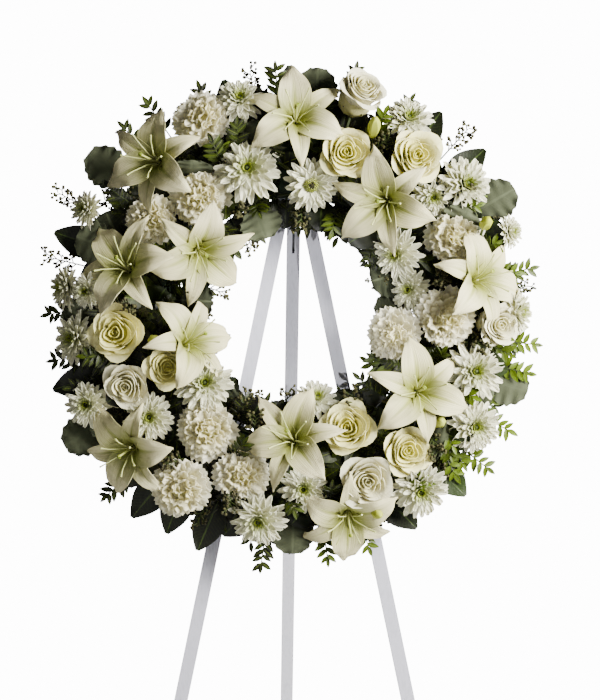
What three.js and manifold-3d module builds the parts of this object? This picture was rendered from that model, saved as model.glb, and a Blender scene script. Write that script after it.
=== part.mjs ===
// A standing funeral wreath: white lilies, cream roses, carnations and chrysanthemums set with mixed
// greenery in a ring of floral foam, which hangs on a folding easel of three white wooden legs.
//
// Millimetres, +Z up, -Y is the front. The wreath and the two front legs lean back together, so they are
// built in a leaning frame of their own: x to the right, y up the wreath, z out of its face. That frame's
// origin is the centre of the ring, on the back face of its tray. The whole is then moved so that the
// origin lies on the floor, under the middle of its bounding box.
import * as THREE from "three";
import { mergeVertices } from "three/addons/utils/BufferGeometryUtils.js";
import Module from "manifold-3d";

const wasm = await Module();
wasm.setup();

// Driving dimensions
const GAP = 0.35; // left between solids that touch
const CLEAR = 0.6; // cut round one bloom where another reaches over it
const STEEPEST = 0.3; // how far a thin rim is pushed out: by the cut's clearance over this, at most
const LEAN = THREE.MathUtils.degToRad(10); // of the wreath and the front legs, from upright
const CENTRE_HEIGHT = 1100; // of the ring's centre above the floor
const RING_RADIUS = 191; // to the middle of the foam
const FOAM_WIDTH = 76;
const FOAM_HEIGHT = 45;
const FOAM_EDGE = 10; // the bevel round the foam's face
const TRAY_WALL = 2.5;
const TRAY_DEPTH = 14;
const RING_STEPS = 28; // facets round the ring
const LEG_WIDTH = 16.5;
const LEG_THICK = 12;
const LEG_SPLAY = THREE.MathUtils.degToRad(11.7); // of each front leg from the middle
const APEX = 207; // where the front legs' centre lines meet, above the ring's centre
const PLATE = { width: 46, low: 136, high: 196, thick: 3 };
const HINGE = { y: 150, behind: 17, tongue: 2.5, pin: 2, bore: 2.5, round: 8 };
const BACK_LEG_ANGLE = THREE.MathUtils.degToRad(26); // between the back leg and the front legs, open
const SLOT = { width: 3.3, through: 12, below: 72, web: 4 }; // sawn right through at the hinge, a groove below
const PEG = { radius: 2.5, reach: 30 };
const TIE = { radius: 1, y: -172 };
const SCREW = { shank: 1.6, head: 3.4, y: 152 };
const STEM = { radius: 2.6, sides: 3, deep: 24, entry: 7, cut: 3, spare: 1.2 };
const BRANCH = { radius: 2.8, sides: 4, bends: 6, out: 230.8, in: 151.2, z: 40 };

const LEG_FRONT = -GAP; // z of the front legs' front faces
const LEG_BACK = LEG_FRONT - LEG_THICK;
const PLATE_FRONT = LEG_BACK - GAP;
const PLATE_BACK = PLATE_FRONT - PLATE.thick;
const HINGE_Z = PLATE_BACK - HINGE.behind;
const FOAM_IN = RING_RADIUS - FOAM_WIDTH / 2;
const FOAM_OUT = RING_RADIUS + FOAM_WIDTH / 2;
const TRAY_IN = FOAM_IN - GAP - TRAY_WALL;
const TRAY_OUT = FOAM_OUT + GAP + TRAY_WALL;

const UP = new THREE.Vector3(0, 0, 1);
const TURN = Math.PI * 2;
const vec = (x, y, z) => new THREE.Vector3(x, y, z);
const deg = THREE.MathUtils.degToRad;
const { clamp } = THREE.MathUtils;

// Solids

/** A solid of points and a flat list of triangles. */
function solidOf(points, triangles) {
  const vertProperties = new Float32Array(points.flatMap((p) => [p.x, p.y, p.z]));
  const triVerts = new Uint32Array(triangles);
  return new wasm.Manifold(new wasm.Mesh({ numProp: 3, vertProperties, triVerts }));
}

/** A closed geometry as a solid, with its faces turned outwards. */
function solid(geometry) {
  const flat = geometry.index ? geometry.toNonIndexed() : geometry;
  const bare = new THREE.BufferGeometry().setAttribute("position", flat.getAttribute("position"));
  const merged = mergeVertices(bare, 1e-3);
  const place = merged.getAttribute("position");
  const points = Array.from({ length: place.count }, (_, i) => vec().fromBufferAttribute(place, i));
  const triangles = Array.from(merged.index.array);
  const made = solidOf(points, triangles);
  return made.volume() > 0 ? made : solidOf(points, triangles.reverse());
}

/** A solid's points and its flat list of triangles. */
function meshOf(made) {
  const { numProp, vertProperties, triVerts } = made.getMesh();
  const points = [];
  for (let i = 0; i < vertProperties.length; i += numProp) {
    points.push(vec(vertProperties[i], vertProperties[i + 1], vertProperties[i + 2]));
  }
  return { points, triangles: Array.from(triVerts) };
}

const join = (parts) => parts.reduce((whole, part) => whole.add(part));

/** The largest body of a solid: what a cut leaves loose is dropped. */
function largest(made) {
  const { points, triangles } = meshOf(made);
  const parent = points.map((_, i) => i);
  const rootOf = (i) => {
    let at = i;
    while (parent[at] !== at) at = parent[at];
    return at;
  };
  for (let i = 0; i < triangles.length; i += 3) {
    const root = rootOf(triangles[i]);
    parent[rootOf(triangles[i + 1])] = root;
    parent[rootOf(triangles[i + 2])] = root;
  }
  const bodies = new Map();
  for (let i = 0; i < triangles.length; i += 3) {
    const corners = triangles.slice(i, i + 3);
    const [a, b, c] = corners.map((corner) => points[corner]);
    const body = bodies.get(rootOf(corners[0])) ?? { volume: 0, triangles: [] };
    body.volume += a.clone().cross(b).dot(c) / 6;
    body.triangles.push(...corners);
    bodies.set(rootOf(corners[0]), body);
  }
  if (bodies.size < 2) return made;
  const best = [...bodies.values()].reduce((a, b) => (b.volume > a.volume ? b : a));
  const used = [...new Set(best.triangles)];
  const renamed = new Map(used.map((old, i) => [old, i]));
  return solidOf(used.map((old) => points[old]), best.triangles.map((old) => renamed.get(old)));
}

/** A solid with each point pushed out until its faces have moved out too, to cut room for itself. */
function grown(made, by) {
  const { points, triangles } = meshOf(made);
  const around = points.map(() => []);
  for (let i = 0; i < triangles.length; i += 3) {
    for (let k = 0; k < 3; k++) {
      const [p, q, r] = [0, 1, 2].map((n) => points[triangles[i + ((k + n) % 3)]]);
      const [toNext, toLast] = [q.clone().sub(p), r.clone().sub(p)];
      const normal = toNext.clone().cross(toLast).normalize();
      around[triangles[i + k]].push({ normal, angle: toNext.angleTo(toLast) });
    }
  }
  const moved = points.map((p, i) => {
    const faces = around[i].filter(({ normal, angle }) => normal.lengthSq() > 0.5 && angle > 0);
    const out = faces.reduce((sum, { normal, angle }) => sum.addScaledVector(normal, angle), vec(0, 0, 0));
    out.normalize();
    const least = Math.min(...faces.map(({ normal }) => normal.dot(out)));
    return p.clone().addScaledVector(out, by / Math.max(least, STEEPEST));
  });
  return solidOf(moved, triangles);
}

/** Whether two solids' boxes come near each other. */
function near(a, b) {
  const [p, q] = [a.boundingBox(), b.boundingBox()];
  return [0, 1, 2].every((i) => p.min[i] < q.max[i] + 2 && q.min[i] < p.max[i] + 2);
}

/** A solid cut clear of others, with the scraps dropped. */
function clearOf(body, others) {
  let made = body;
  for (const other of others) {
    if (near(made, other) && made.intersect(other).volume() > 0) made = largest(made.subtract(other));
  }
  return made;
}

// Geometry

/** A closed body through rings of points, pointed at both ends. */
function ringBody(start, rings, end) {
  const count = rings[0].length;
  const points = [start, ...rings.flat(), end];
  const at = (ring, i) => 1 + ring * count + (i % count);
  const triangles = [];
  for (let i = 0; i < count; i++) {
    triangles.push(0, at(0, i), at(0, i + 1));
    for (let r = 0; r + 1 < rings.length; r++) {
      triangles.push(at(r, i), at(r + 1, i), at(r + 1, i + 1));
      triangles.push(at(r, i), at(r + 1, i + 1), at(r, i + 1));
    }
    triangles.push(points.length - 1, at(rings.length - 1, i + 1), at(rings.length - 1, i));
  }
  return new THREE.BufferGeometry().setFromPoints(points).setIndex(triangles);
}

/** A body round the z axis: whorls of points, whose radius and height a function gives. */
function roundBody(count, top, whorls, bottom, place) {
  const rings = whorls.map((whorl, w) =>
    Array.from({ length: count }, (_, i) => {
      const angle = (i / count) * TURN;
      const { r, h } = place(whorl, w, i, angle);
      return vec(r * Math.cos(angle), r * Math.sin(angle), h);
    }),
  );
  return ringBody(vec(0, 0, top), rings, vec(0, 0, bottom));
}

/** The matrix that stands the z axis along a direction, spun about it, at a place. */
function frameAt(place, direction, spin = 0) {
  const stand = new THREE.Quaternion().setFromUnitVectors(UP, direction.clone().normalize());
  const about = new THREE.Quaternion().setFromAxisAngle(UP, spin);
  return new THREE.Matrix4().compose(place, stand.multiply(about), vec(1, 1, 1));
}

/** The corners of a rod's section at a place, square to a direction. */
function section(place, along, radius, sides) {
  const stand = frameAt(place, along);
  return Array.from({ length: sides }, (_, i) => {
    return vec(radius, 0, 0).applyAxisAngle(UP, (i / sides) * TURN).applyMatrix4(stand);
  });
}

/** A straight rod from one point to another, with flat ends. */
function rod(from, to, radius, sides = STEM.sides) {
  const along = to.clone().sub(from);
  return ringBody(from, [from, to].map((end) => section(end, along, radius, sides)), to);
}

/** A stalk through points, pointed at both ends. */
function stalk(points, radius, sides = STEM.sides) {
  const rings = points.slice(1, -1).map((p, i) => section(p, points[i + 2].clone().sub(points[i]), radius, sides));
  return ringBody(points[0], rings, points[points.length - 1]);
}

/** A spike from a sunk root to a point. */
const spike = (from, to, radius) => stalk([from, from.clone().lerp(to, 0.05), to], radius);

/** A blade on a rib that bends away from the z axis, thick at its rib and thin at its rim. */
function blade({ length, from, to, out, up, widths, lift, thick }) {
  const steps = widths.length + 1;
  const rib = [{ out, up }];
  for (let i = 0; i < steps; i++) {
    const angle = from + (to - from) * ((i + 0.5) / steps);
    const last = rib[i];
    rib.push({
      out: last.out + (Math.sin(angle) * length) / steps,
      up: last.up + (Math.cos(angle) * length) / steps,
    });
  }
  const rings = widths.map((width, i) => {
    const at = rib[i + 1];
    const angle = from + (to - from) * ((i + 1) / steps);
    const [nx, nz] = [-Math.cos(angle), Math.sin(angle)];
    const side = (s) => vec(at.out + nx * lift, (s * width) / 2, at.up + nz * lift);
    const face = (s) => vec(at.out + (nx * s * thick) / 2, 0, at.up + (nz * s * thick) / 2);
    return [face(1), side(1), face(-1), side(-1)];
  });
  const tip = rib[steps];
  return ringBody(vec(out, 0, up), rings, vec(tip.out, 0, tip.up));
}

// Flower heads. Each stands on the origin and faces +z, at its full size.

/** Six tepals in two whorls, flung back from a funnel, with a style and filaments. */
function lilyHead(width) {
  const k = width / 124;
  const bend = { from: deg(38), to: deg(118), length: 60 * k, thick: 2.2, out: 7 };
  const inner = blade({ ...bend, up: 13, widths: [27 * k, 30 * k], lift: 3 });
  const outer = blade({ ...bend, up: 10, widths: [20 * k, 20 * k], lift: 1 });
  const funnel = roundBody(6, 8, [{ r: 11, h: 20 }, { r: 7.5, h: 5 }], -7, (whorl) => whorl);
  const parts = [funnel, spike(vec(0.3, 0.2, 3), vec(4, 0, 44 * k), 1.9)];
  for (let i = 0; i < 3; i++) {
    const a = deg(i * 120);
    parts.push(inner.clone().rotateZ(a), outer.clone().rotateZ(a + deg(60)));
    parts.push(spike(vec(4, 0, 8), vec(18 * k, 0, 37 * k), 1.6).rotateZ(a + deg(90)));
  }
  return parts;
}

/** Folded petals raised by a formula, whorl on whorl round a pointed bud, with a lobed rim. */
function roseHead(width) {
  const k = width / 66;
  // Radius and height of each fold or furrow, how far its folds swing, their number and their turn
  const whorls = [
    { r: 7, h: 34, swing: 1, folds: 3, turned: 0 },
    { r: 13, h: 39, swing: 1.6, folds: 3, turned: 1 },
    { r: 16, h: 31, swing: 1, folds: 3, turned: 1 },
    { r: 23, h: 35, swing: 1.8, folds: 5, turned: 2 },
    { r: 25, h: 24, swing: 1, folds: 5, turned: 2 },
    { r: 31.5, h: 28, swing: 2, folds: 5, turned: 5 },
    { r: 23, h: 9, swing: 1, folds: 5, turned: 5 },
  ];
  const fold = ({ r, h, swing, folds, turned }, w, i, angle) => ({
    r: (r + swing * Math.cos(folds * angle + turned)) * k,
    h: (h + swing * Math.sin(folds * angle + turned)) * k,
  });
  return [roundBody(12, 41 * k, whorls, -4, fold)];
}

/** Crowded frilled petals, as a domed head whose ridges zigzag in and out. */
function carnationHead(width) {
  const k = width / 68;
  const whorls = [
    { r: 7, h: 35, frill: 2.5 },
    { r: 11, h: 27, frill: 1 },
    { r: 18, h: 33, frill: 3 },
    { r: 21, h: 23, frill: 1.5 },
    { r: 29, h: 26, frill: 3.5 },
    { r: 31, h: 15, frill: 3 },
    { r: 9, h: 2, frill: 0.5 },
  ];
  const frilled = ({ r, h, frill }, w, i) => {
    const s = (i + (w >> 1)) % 2 ? frill : -frill;
    return { r: (r + s) * k, h: (h - s * 0.6) * k };
  };
  return [roundBody(12, 29 * k, whorls, -6, frilled)];
}

/** Ray petals in three whorls, each petal's tip over the notch between two of the next whorl. */
function mumHead(width) {
  const k = width / 72;
  const petals = width > 58 ? 9 : 7;
  const whorls = [
    { tip: 15, notch: 9, tipUp: 23, notchUp: 19 },
    { tip: 27, notch: 15, tipUp: 19, notchUp: 12 },
    { tip: 36, notch: 22, tipUp: 10, notchUp: 5 },
  ];
  const rayed = ({ tip, notch, tipUp, notchUp }, w, i) =>
    (i + w) % 2 ? { r: notch * k, h: notchUp * k } : { r: tip * k, h: tipUp * k };
  return [roundBody(petals * 2, 18 * k, whorls, -3, rayed)];
}

/** A closed lily bud: a spindle of five sides. */
const budHead = (length) => [
  roundBody(5, length, [{ r: 8, h: length * 0.55 }, { r: 5.5, h: length * 0.2 }], -2, (whorl) => whorl),
];

// Where the flowers stand. at is the foot of the head in the leaning frame, face the sideways part of the
// direction that it faces, size its width and spin the angle of its first petal.
const LILIES = [
  { name: "lily_upper_left", at: [-163, 187, 66], face: [-0.49, 0.04], size: 126, spin: 84 },
  { name: "lily_top", at: [-2, 235, 66], face: [0.07, 0.28], size: 124, spin: 95 },
  { name: "lily_left", at: [-199, 54, 74], face: [-0.42, 0.3], size: 126, spin: 6 },
  { name: "lily_inner_left", at: [-121, 84, 70], face: [0.25, -0.33], size: 126, spin: 79 },
  { name: "lily_inner_low_left", at: [-139, -35, 64], face: [0.56, 0.3], size: 120, spin: 10 },
  { name: "lily_lower_left", at: [-193, -155, 66], face: [-0.5, -0.28], size: 120, spin: 8 },
  { name: "lily_bottom", at: [-1, -151, 74], face: [-0.28, 0.24], size: 122, spin: 69 },
  { name: "lily_low_right", at: [62, -230, 62], face: [0.04, -0.55], size: 122, spin: 270 },
  { name: "lily_right_inner", at: [144, -90, 76], face: [0.17, 0.03], size: 124, spin: 101 },
  { name: "lily_right", at: [211, 43, 68], face: [0.52, 0.16], size: 122, spin: 105 },
  { name: "lily_upper_right", at: [111, 142, 70], face: [-0.3, -0.18], size: 124, spin: 100 },
];
const ROSES = [
  { name: "rose_top", at: [70, 262, 56], face: [0.3, 0.42], size: 58, spin: 20 },
  { name: "rose_upper_right_1", at: [58, 195, 60], face: [0.04, 0.1], size: 66, spin: 50 },
  { name: "rose_upper_right_2", at: [139, 192, 60], face: [0.18, 0.1], size: 66, spin: 10 },
  { name: "rose_left_1", at: [-211, -20, 58], face: [-0.2, 0.03], size: 68, spin: 35 },
  { name: "rose_left_2", at: [-158, -57, 59], face: [0.1, -0.1], size: 52, spin: 70 },
  { name: "rose_left_3", at: [-202, -78, 58], face: [-0.15, -0.2], size: 58, spin: 5 },
  { name: "rose_bottom_1", at: [66, -138, 60], face: [-0.18, 0.16], size: 68, spin: 40 },
  { name: "rose_bottom_2", at: [82, -195, 60], face: [0.08, -0.1], size: 66, spin: 15 },
  { name: "rose_bottom_3", at: [128, -163, 58], face: [0.2, 0.06], size: 62, spin: 60 },
  { name: "rose_right", at: [236, -8, 56], face: [0.4, -0.05], size: 54, spin: 25 },
];
const CARNATIONS = [
  { name: "carnation_top", at: [-113, 235, 58], face: [-0.15, 0.3], size: 64, spin: 0 },
  { name: "carnation_upper_left_1", at: [-116, 144, 60], face: [-0.05, 0.02], size: 66, spin: 15 },
  { name: "carnation_upper_left_2", at: [-172, 118, 56], face: [-0.2, -0.05], size: 60, spin: 30 },
  { name: "carnation_upper_right", at: [191, 95, 58], face: [0.1, 0.1], size: 68, spin: 10 },
  { name: "carnation_right", at: [181, 0, 60], face: [0.05, 0.02], size: 70, spin: 25 },
  { name: "carnation_inner_right", at: [122, -20, 58], face: [-0.35, -0.05], size: 60, spin: 5 },
  { name: "carnation_low_left_1", at: [-108, -136, 60], face: [0.02, -0.03], size: 68, spin: 12 },
  { name: "carnation_low_left_2", at: [-138, -203, 58], face: [-0.1, -0.3], size: 66, spin: 34 },
  { name: "carnation_bottom", at: [-66, -190, 58], face: [0.04, -0.08], size: 62, spin: 22 },
];
// A spray carries its heads on branches of one stem, which stands at foot; a branch goes round another
// bloom by way of round
const MUM_SPRAYS = [
  {
    name: "chrysanthemum_spray_top",
    foot: [-24, 190, 0],
    heads: [
      { at: [-60, 178, 66], face: [0, 0.08], size: 82, spin: 0 },
      { at: [17, 163, 64], face: [0.05, -0.25], size: 66, spin: 8 },
      { at: [-68, 258, 62], face: [-0.05, 0.5], size: 60, spin: 4 },
    ],
  },
  {
    name: "chrysanthemum_spray_upper_right",
    foot: [167, 181, 0],
    heads: [
      { at: [200, 160, 60], face: [0.4, 0.15], size: 70, spin: 5 },
      { at: [166, 148, 62], face: [0.02, -0.25], size: 52, spin: 11 },
      { at: [134, 236, 60], face: [0.15, 0.45], size: 62, spin: 2, round: [178, 218, 50] },
    ],
  },
  {
    name: "chrysanthemum_spray_right",
    foot: [191, -134, 0],
    heads: [
      { at: [213, -66, 64], face: [0.2, 0.02], size: 74, spin: 3 },
      { at: [213, -131, 62], face: [0.25, -0.12], size: 66, spin: 12 },
      { at: [148, -206, 62], face: [0.12, -0.3], size: 70, spin: 6 },
    ],
  },
  {
    name: "chrysanthemum_spray_bottom",
    foot: [-5, -183, 0],
    heads: [
      { at: [8, -206, 64], face: [0, -0.12], size: 58, spin: 3 },
      { at: [-46, -240, 61], face: [-0.05, -0.4], size: 70, spin: 9 },
      { at: [24, -104, 58], face: [0.1, 0.6], size: 54, spin: 4, round: [34, -160, 50] },
    ],
  },
  {
    name: "chrysanthemum_spray_low_left",
    foot: [-146, -101, 0],
    heads: [
      { at: [-178, -120, 66], face: [0, -0.05], size: 60, spin: 7 },
      { at: [-113, -82, 66], face: [0.12, 0.2], size: 70, spin: 2 },
    ],
  },
  {
    name: "chrysanthemum_spray_left",
    foot: [-256, -65, 0],
    heads: [
      { at: [-250, -104, 60], face: [-0.3, -0.1], size: 56, spin: 5 },
      { at: [-262, -26, 54], face: [-0.65, 0.02], size: 64, spin: 1 },
    ],
  },
  {
    name: "chrysanthemum_spray_upper_left",
    foot: [-258, 66, 0],
    heads: [
      { at: [-273, 36, 54], face: [-0.85, 0], size: 54, spin: 0 },
      { at: [-250, 32, 74], face: [-0.4, -0.1], size: 42, spin: 9 },
      { at: [-250, 130, 54], face: [-0.7, 0.15], size: 46, spin: 6 },
    ],
  },
  {
    name: "chrysanthemum_spray_inner_right",
    foot: [132, 56, 0],
    heads: [
      { at: [124, 78, 58], face: [-0.35, -0.15], size: 64, spin: 8 },
      { at: [141, 34, 58], face: [-0.45, -0.05], size: 52, spin: 0 },
    ],
  },
  {
    name: "chrysanthemum_spray_far_right",
    foot: [200, 68, 0],
    heads: [
      { at: [256, 104, 54], face: [0.8, 0.1], size: 42, spin: 3 },
      { at: [262, 6, 54], face: [0.85, 0.02], size: 58, spin: 10 },
    ],
  },
];
// Buds stand on the stem of the lily that they are named after
const BUDS = {
  lily_upper_right: { at: [92, 218, 72], face: [0.02, 0.45], length: 44 },
  lily_right: { at: [225, 108, 84], face: [0.1, 0.3], length: 30 },
  lily_right_inner: { at: [170, -128, 66], face: [0.1, 0.1], length: 34 },
  lily_low_right: { at: [88, -226, 60], face: [0.35, -0.4], length: 36 },
  lily_inner_low_left: { at: [-170, -30, 70], face: [-0.1, 0.1], length: 28 },
};

/** The direction that a head faces, from the sideways part of it. */
const facing = ([x, y]) => vec(x, y, Math.sqrt(1 - x * x - y * y));

/** Where a stem that serves a place over the ring goes into the foam. */
function stemEntry(place) {
  const reach = FOAM_WIDTH / 2 - 17;
  const r = clamp(Math.hypot(place.x, place.y), RING_RADIUS - reach, RING_RADIUS + reach);
  return vec(place.x, place.y, 0).setLength(r).setZ(FOAM_HEIGHT + STEM.entry);
}

/** Heads of one bloom or spray, fused to their branches and their stem, and the hole it stands in. */
function bloom(name, heads, makeHead, extra = () => [], foot = heads[0].at) {
  const feet = heads.map(({ at }) => vec(...at));
  const entry = stemEntry(vec(...foot));
  const end = entry.clone().setZ(FOAM_HEIGHT - STEM.deep);
  const parts = [...extra(entry)];
  const tops = heads.map((head, i) => {
    const place = frameAt(feet[i], facing(head.face), deg(head.spin));
    makeHead(head.size).forEach((part) => parts.push(part.applyMatrix4(place)));
    return feet[i].clone().addScaledVector(facing(head.face), 9);
  });
  const cut = end.clone().setZ(end.z + STEM.cut);
  const fork = entry.clone().setZ(entry.z + 4);
  parts.push(stalk([end, cut, entry, heads.length > 1 ? fork : tops[0]], STEM.radius));
  if (heads.length > 1) {
    tops.forEach((top, i) => {
      const bends = heads[i].round ? [vec(...heads[i].round)] : [];
      const first = bends[0] ?? top;
      parts.push(stalk([entry, entry.clone().lerp(first, 0.05), ...bends, top], STEM.radius));
    });
  }
  const below = end.clone().setZ(end.z - GAP);
  const hole = solid(rod(below, entry, STEM.radius + STEM.spare));
  return { name, hole, body: join(parts.map(solid)) };
}

/** A bud and its stalk, which meets a lily's stem where that goes into the foam. */
const bud = ({ at, face, length }) => (entry) => [
  ...budHead(length).map((part) => part.applyMatrix4(frameAt(vec(...at), facing(face)))),
  spike(entry, vec(...at).addScaledVector(facing(face), 9), 2),
];

// Greenery. A branch lies along the foam's edge, outside and inside, and from it grow leaves, sprigs and
// sprays of seeds, with their tips where the photograph shows them.

/** Stations of a leaf with a plain edge: share of the blade, half width, forward lead and half thickness. */
const plainLeaf = (half) => [
  [0.06, 1.3, 0, 1.2],
  [0.36, half * 0.86, 0, 1.1],
  [0.62, half, 0, 1.1],
  [0.86, half * 0.5, 0, 0.9],
];

/** Stations of a leaf with a lobed edge. */
const lobedLeaf = (half) => [
  [0.08, 1.6, 0, 1.3],
  [0.24, half * 0.75, 3, 1.2],
  [0.36, half * 0.5, 0, 1.2],
  [0.54, half, 3, 1.2],
  [0.68, half * 0.62, 0, 1.1],
  [0.82, half * 0.66, 3, 1],
];

/** Stations of leaflets in pairs, cut to the rib. */
const leafletPairs = (pairs, half, lead) =>
  Array.from({ length: pairs * 2 }, (_, i) =>
    i % 2 ? [(i + 1.3) / (pairs * 2 + 1), 1, 0, 0.9] : [(i + 0.5) / (pairs * 2 + 1), half, lead, 0.9],
  );

/** Stations of beads on a thread, for seeds on their stalk. */
const beads = (count, radius) =>
  Array.from({ length: count * 2 }, (_, i) => {
    const fat = i % 2 ? 0.9 : radius;
    return [(i + 0.6) / (count * 2), fat, 0, fat];
  });

const KINDS = {
  lemon: { blade: 66, stations: plainLeaf(18) }, // pointed, dark and glossy
  silver: { blade: 58, stations: lobedLeaf(22) }, // felted, with a lobed edge
  sprig: { blade: 50, stations: leafletPairs(3, 11, 8) },
  fern: { blade: 56, stations: leafletPairs(4, 8, 8) },
  seeds: { blade: 40, stations: beads(4, 3) },
};
const OUTER_GREENS = [
  { kind: "silver", tip: [28, 306, 36] },
  { kind: "lemon", tip: [-8, 308, 44] },
  { kind: "sprig", tip: [-26, 312, 58] },
  { kind: "seeds", tip: [-56, 300, 44] },
  { kind: "lemon", tip: [-88, 290, 44] },
  { kind: "sprig", tip: [-120, 286, 48] },
  { kind: "sprig", tip: [-186, 268, 46] },
  { kind: "sprig", tip: [-216, 238, 50] },
  { kind: "silver", tip: [-252, 200, 46] },
  { kind: "seeds", tip: [-290, 152, 44] },
  { kind: "lemon", tip: [-294, 104, 42] },
  { kind: "seeds", tip: [-304, 74, 46] },
  { kind: "sprig", tip: [-310, 2, 36] },
  { kind: "sprig", tip: [-304, -54, 44] },
  { kind: "lemon", tip: [-296, -88, 42] },
  { kind: "silver", tip: [-282, -156, 42] },
  { kind: "sprig", tip: [-238, -224, 46] },
  { kind: "lemon", tip: [-200, -244, 38] },
  { kind: "lemon", tip: [-120, -284, 44] },
  { kind: "lemon", tip: [-158, -264, 36] },
  { kind: "sprig", tip: [-44, -312, 48] },
  { kind: "silver", tip: [-4, -288, 48] },
  { kind: "sprig", tip: [40, -304, 44] },
  { kind: "sprig", tip: [92, -290, 44] },
  { kind: "lemon", tip: [148, -258, 42] },
  { kind: "lemon", tip: [208, -218, 44] },
  { kind: "sprig", tip: [242, -190, 46] },
  { kind: "sprig", tip: [268, -142, 46] },
  { kind: "silver", tip: [284, -90, 44] },
  { kind: "sprig", tip: [302, -34, 44] },
  { kind: "sprig", tip: [296, 62, 46] },
  { kind: "silver", tip: [268, 158, 44] },
  { kind: "lemon", tip: [232, 206, 42] },
  { kind: "seeds", tip: [212, 232, 46] },
  { kind: "lemon", tip: [178, 252, 42] },
  { kind: "sprig", tip: [146, 274, 46] },
  { kind: "sprig", tip: [76, 314, 44] },
];
const INNER_GREENS = [
  { kind: "silver", tip: [-36, 96, 54] },
  { kind: "sprig", tip: [14, 104, 50] },
  { kind: "sprig", tip: [48, 92, 46] },
  { kind: "sprig", tip: [82, 70, 44] },
  { kind: "silver", tip: [98, 2, 44] },
  { kind: "sprig", tip: [82, -50, 46] },
  { kind: "sprig", tip: [52, -88, 50] },
  { kind: "seeds", tip: [-10, -92, 50] },
  { kind: "seeds", tip: [-50, -96, 50] },
  { kind: "lemon", tip: [-72, -74, 46] },
  { kind: "sprig", tip: [-84, -22, 46] },
  { kind: "seeds", tip: [-88, 30, 46] },
  { kind: "fern", tip: [-66, 84, 46] },
];
const OUTER_SHARES = 6;
const INNER_SHARES = 4;

const angleOf = ([x, y]) => (Math.atan2(y, x) + TURN) % TURN;

/** One leaf or sprig, from its root in the branch to its tip, arched towards the viewer. */
function growth({ kind, tip }, root) {
  const { blade: length, stations } = KINDS[kind];
  const end = vec(...tip);
  const knee = root.clone().lerp(end, 0.5).setZ(Math.max(root.z, end.z) + 3);
  const curve = new THREE.QuadraticBezierCurve3(root, knee, end);
  const bladeShare = Math.min(0.86, length / curve.getLength());
  const side = end.clone().sub(root).cross(UP).normalize();
  const ringAt = (t, half, lead, thick) => {
    const at = curve.getPoint(t);
    const along = curve.getTangent(t);
    const over = side.clone().cross(along).normalize();
    const face = (s) => at.clone().addScaledVector(over, s * thick);
    const edge = (s) => at.clone().addScaledVector(side, s * half).addScaledVector(along, lead);
    return [face(1), edge(1), face(-1), edge(-1)];
  };
  const leaf = stations.map(([share, ...form]) => ringAt(1 - bladeShare * (1 - share), ...form));
  return ringBody(root, [ringAt(0.04, 1.3, 0, 1.3), ...leaf], end);
}

/** The branch of one share of the ring, with all that grows from it, and the hole its pin stands in. */
function greenery(name, items, share, shares, radius, pinTurn) {
  const span = TURN / shares;
  const [low, high] = [share * span, (share + 1) * span];
  const margin = 6 / radius;
  const onBranch = (a) => vec(radius * Math.cos(a), radius * Math.sin(a), BRANCH.z);
  const bends = Array.from({ length: BRANCH.bends + 1 }, (_, i) =>
    onBranch(low + margin + (i / BRANCH.bends) * (span - 2 * margin)),
  );
  const ends = [onBranch(low + margin / 2), onBranch(high - margin / 2)];
  const parts = [stalk([ends[0], ...bends, ends[1]], BRANCH.radius, BRANCH.sides)];
  for (const item of items) {
    const a = angleOf(item.tip);
    if (a < low || a >= high) continue;
    parts.push(growth(item, onBranch(clamp(a, low + 3 * margin, high - 3 * margin))));
  }
  const at = onBranch(low + span * (0.5 + pinTurn));
  const inwards = vec(at.x, at.y, 0).setLength(radius > RING_RADIUS ? -12 : 12);
  const into = at.clone().add(inwards).setZ(at.z - 14);
  const beyond = into.clone().add(into.clone().sub(at).setLength(GAP * 2));
  parts.push(spike(at, into, 1.6));
  return { name, hole: solid(rod(at, beyond, 1.6 + GAP * 2)), body: join(parts.map(solid)) };
}

// The ring

/** A ring turned about the z axis from a closed outline of radius and height. */
function ring(outline) {
  const points = [...outline, outline[0]].map(([r, z]) => new THREE.Vector2(r, z));
  return solid(new THREE.LatheGeometry(points, RING_STEPS).rotateX(Math.PI / 2));
}

/** The plastic tray: a channel that opens to the front. */
const trayBody = () =>
  ring([
    [TRAY_IN, 0],
    [TRAY_OUT, 0],
    [TRAY_OUT, TRAY_DEPTH],
    [TRAY_OUT - TRAY_WALL, TRAY_DEPTH],
    [TRAY_OUT - TRAY_WALL, TRAY_WALL],
    [TRAY_IN + TRAY_WALL, TRAY_WALL],
    [TRAY_IN + TRAY_WALL, TRAY_DEPTH],
    [TRAY_IN, TRAY_DEPTH],
  ]);

/** The foam: it fills the tray and stands out of it with bevelled edges. */
const foamBody = () =>
  ring([
    [FOAM_IN, TRAY_WALL + GAP],
    [FOAM_OUT, TRAY_WALL + GAP],
    [FOAM_OUT, FOAM_HEIGHT - FOAM_EDGE],
    [FOAM_OUT - FOAM_EDGE, FOAM_HEIGHT],
    [FOAM_IN + FOAM_EDGE, FOAM_HEIGHT],
    [FOAM_IN, FOAM_HEIGHT - FOAM_EDGE],
  ]);

// The easel

const splay = Math.tan(LEG_SPLAY);
const legX = (y) => (APEX - y) * splay;
const legTop = APEX - (LEG_WIDTH / 2 / Math.cos(LEG_SPLAY) + GAP) / splay;

/** The y in the leaning frame of the floor, at a depth. */
const floorAt = (z) => -CENTRE_HEIGHT / Math.cos(LEAN) - z * Math.tan(LEAN);

/** A solid between two loops of four points. */
function prism(low, high) {
  const triangles = [0, 2, 1, 0, 3, 2, 4, 5, 6, 4, 6, 7];
  for (let i = 0; i < 4; i++) {
    const j = (i + 1) % 4;
    triangles.push(i, j, j + 4, i, j + 4, i + 4);
  }
  const geometry = new THREE.BufferGeometry().setFromPoints([...low, ...high]);
  return solid(geometry.setIndex(triangles));
}

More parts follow.
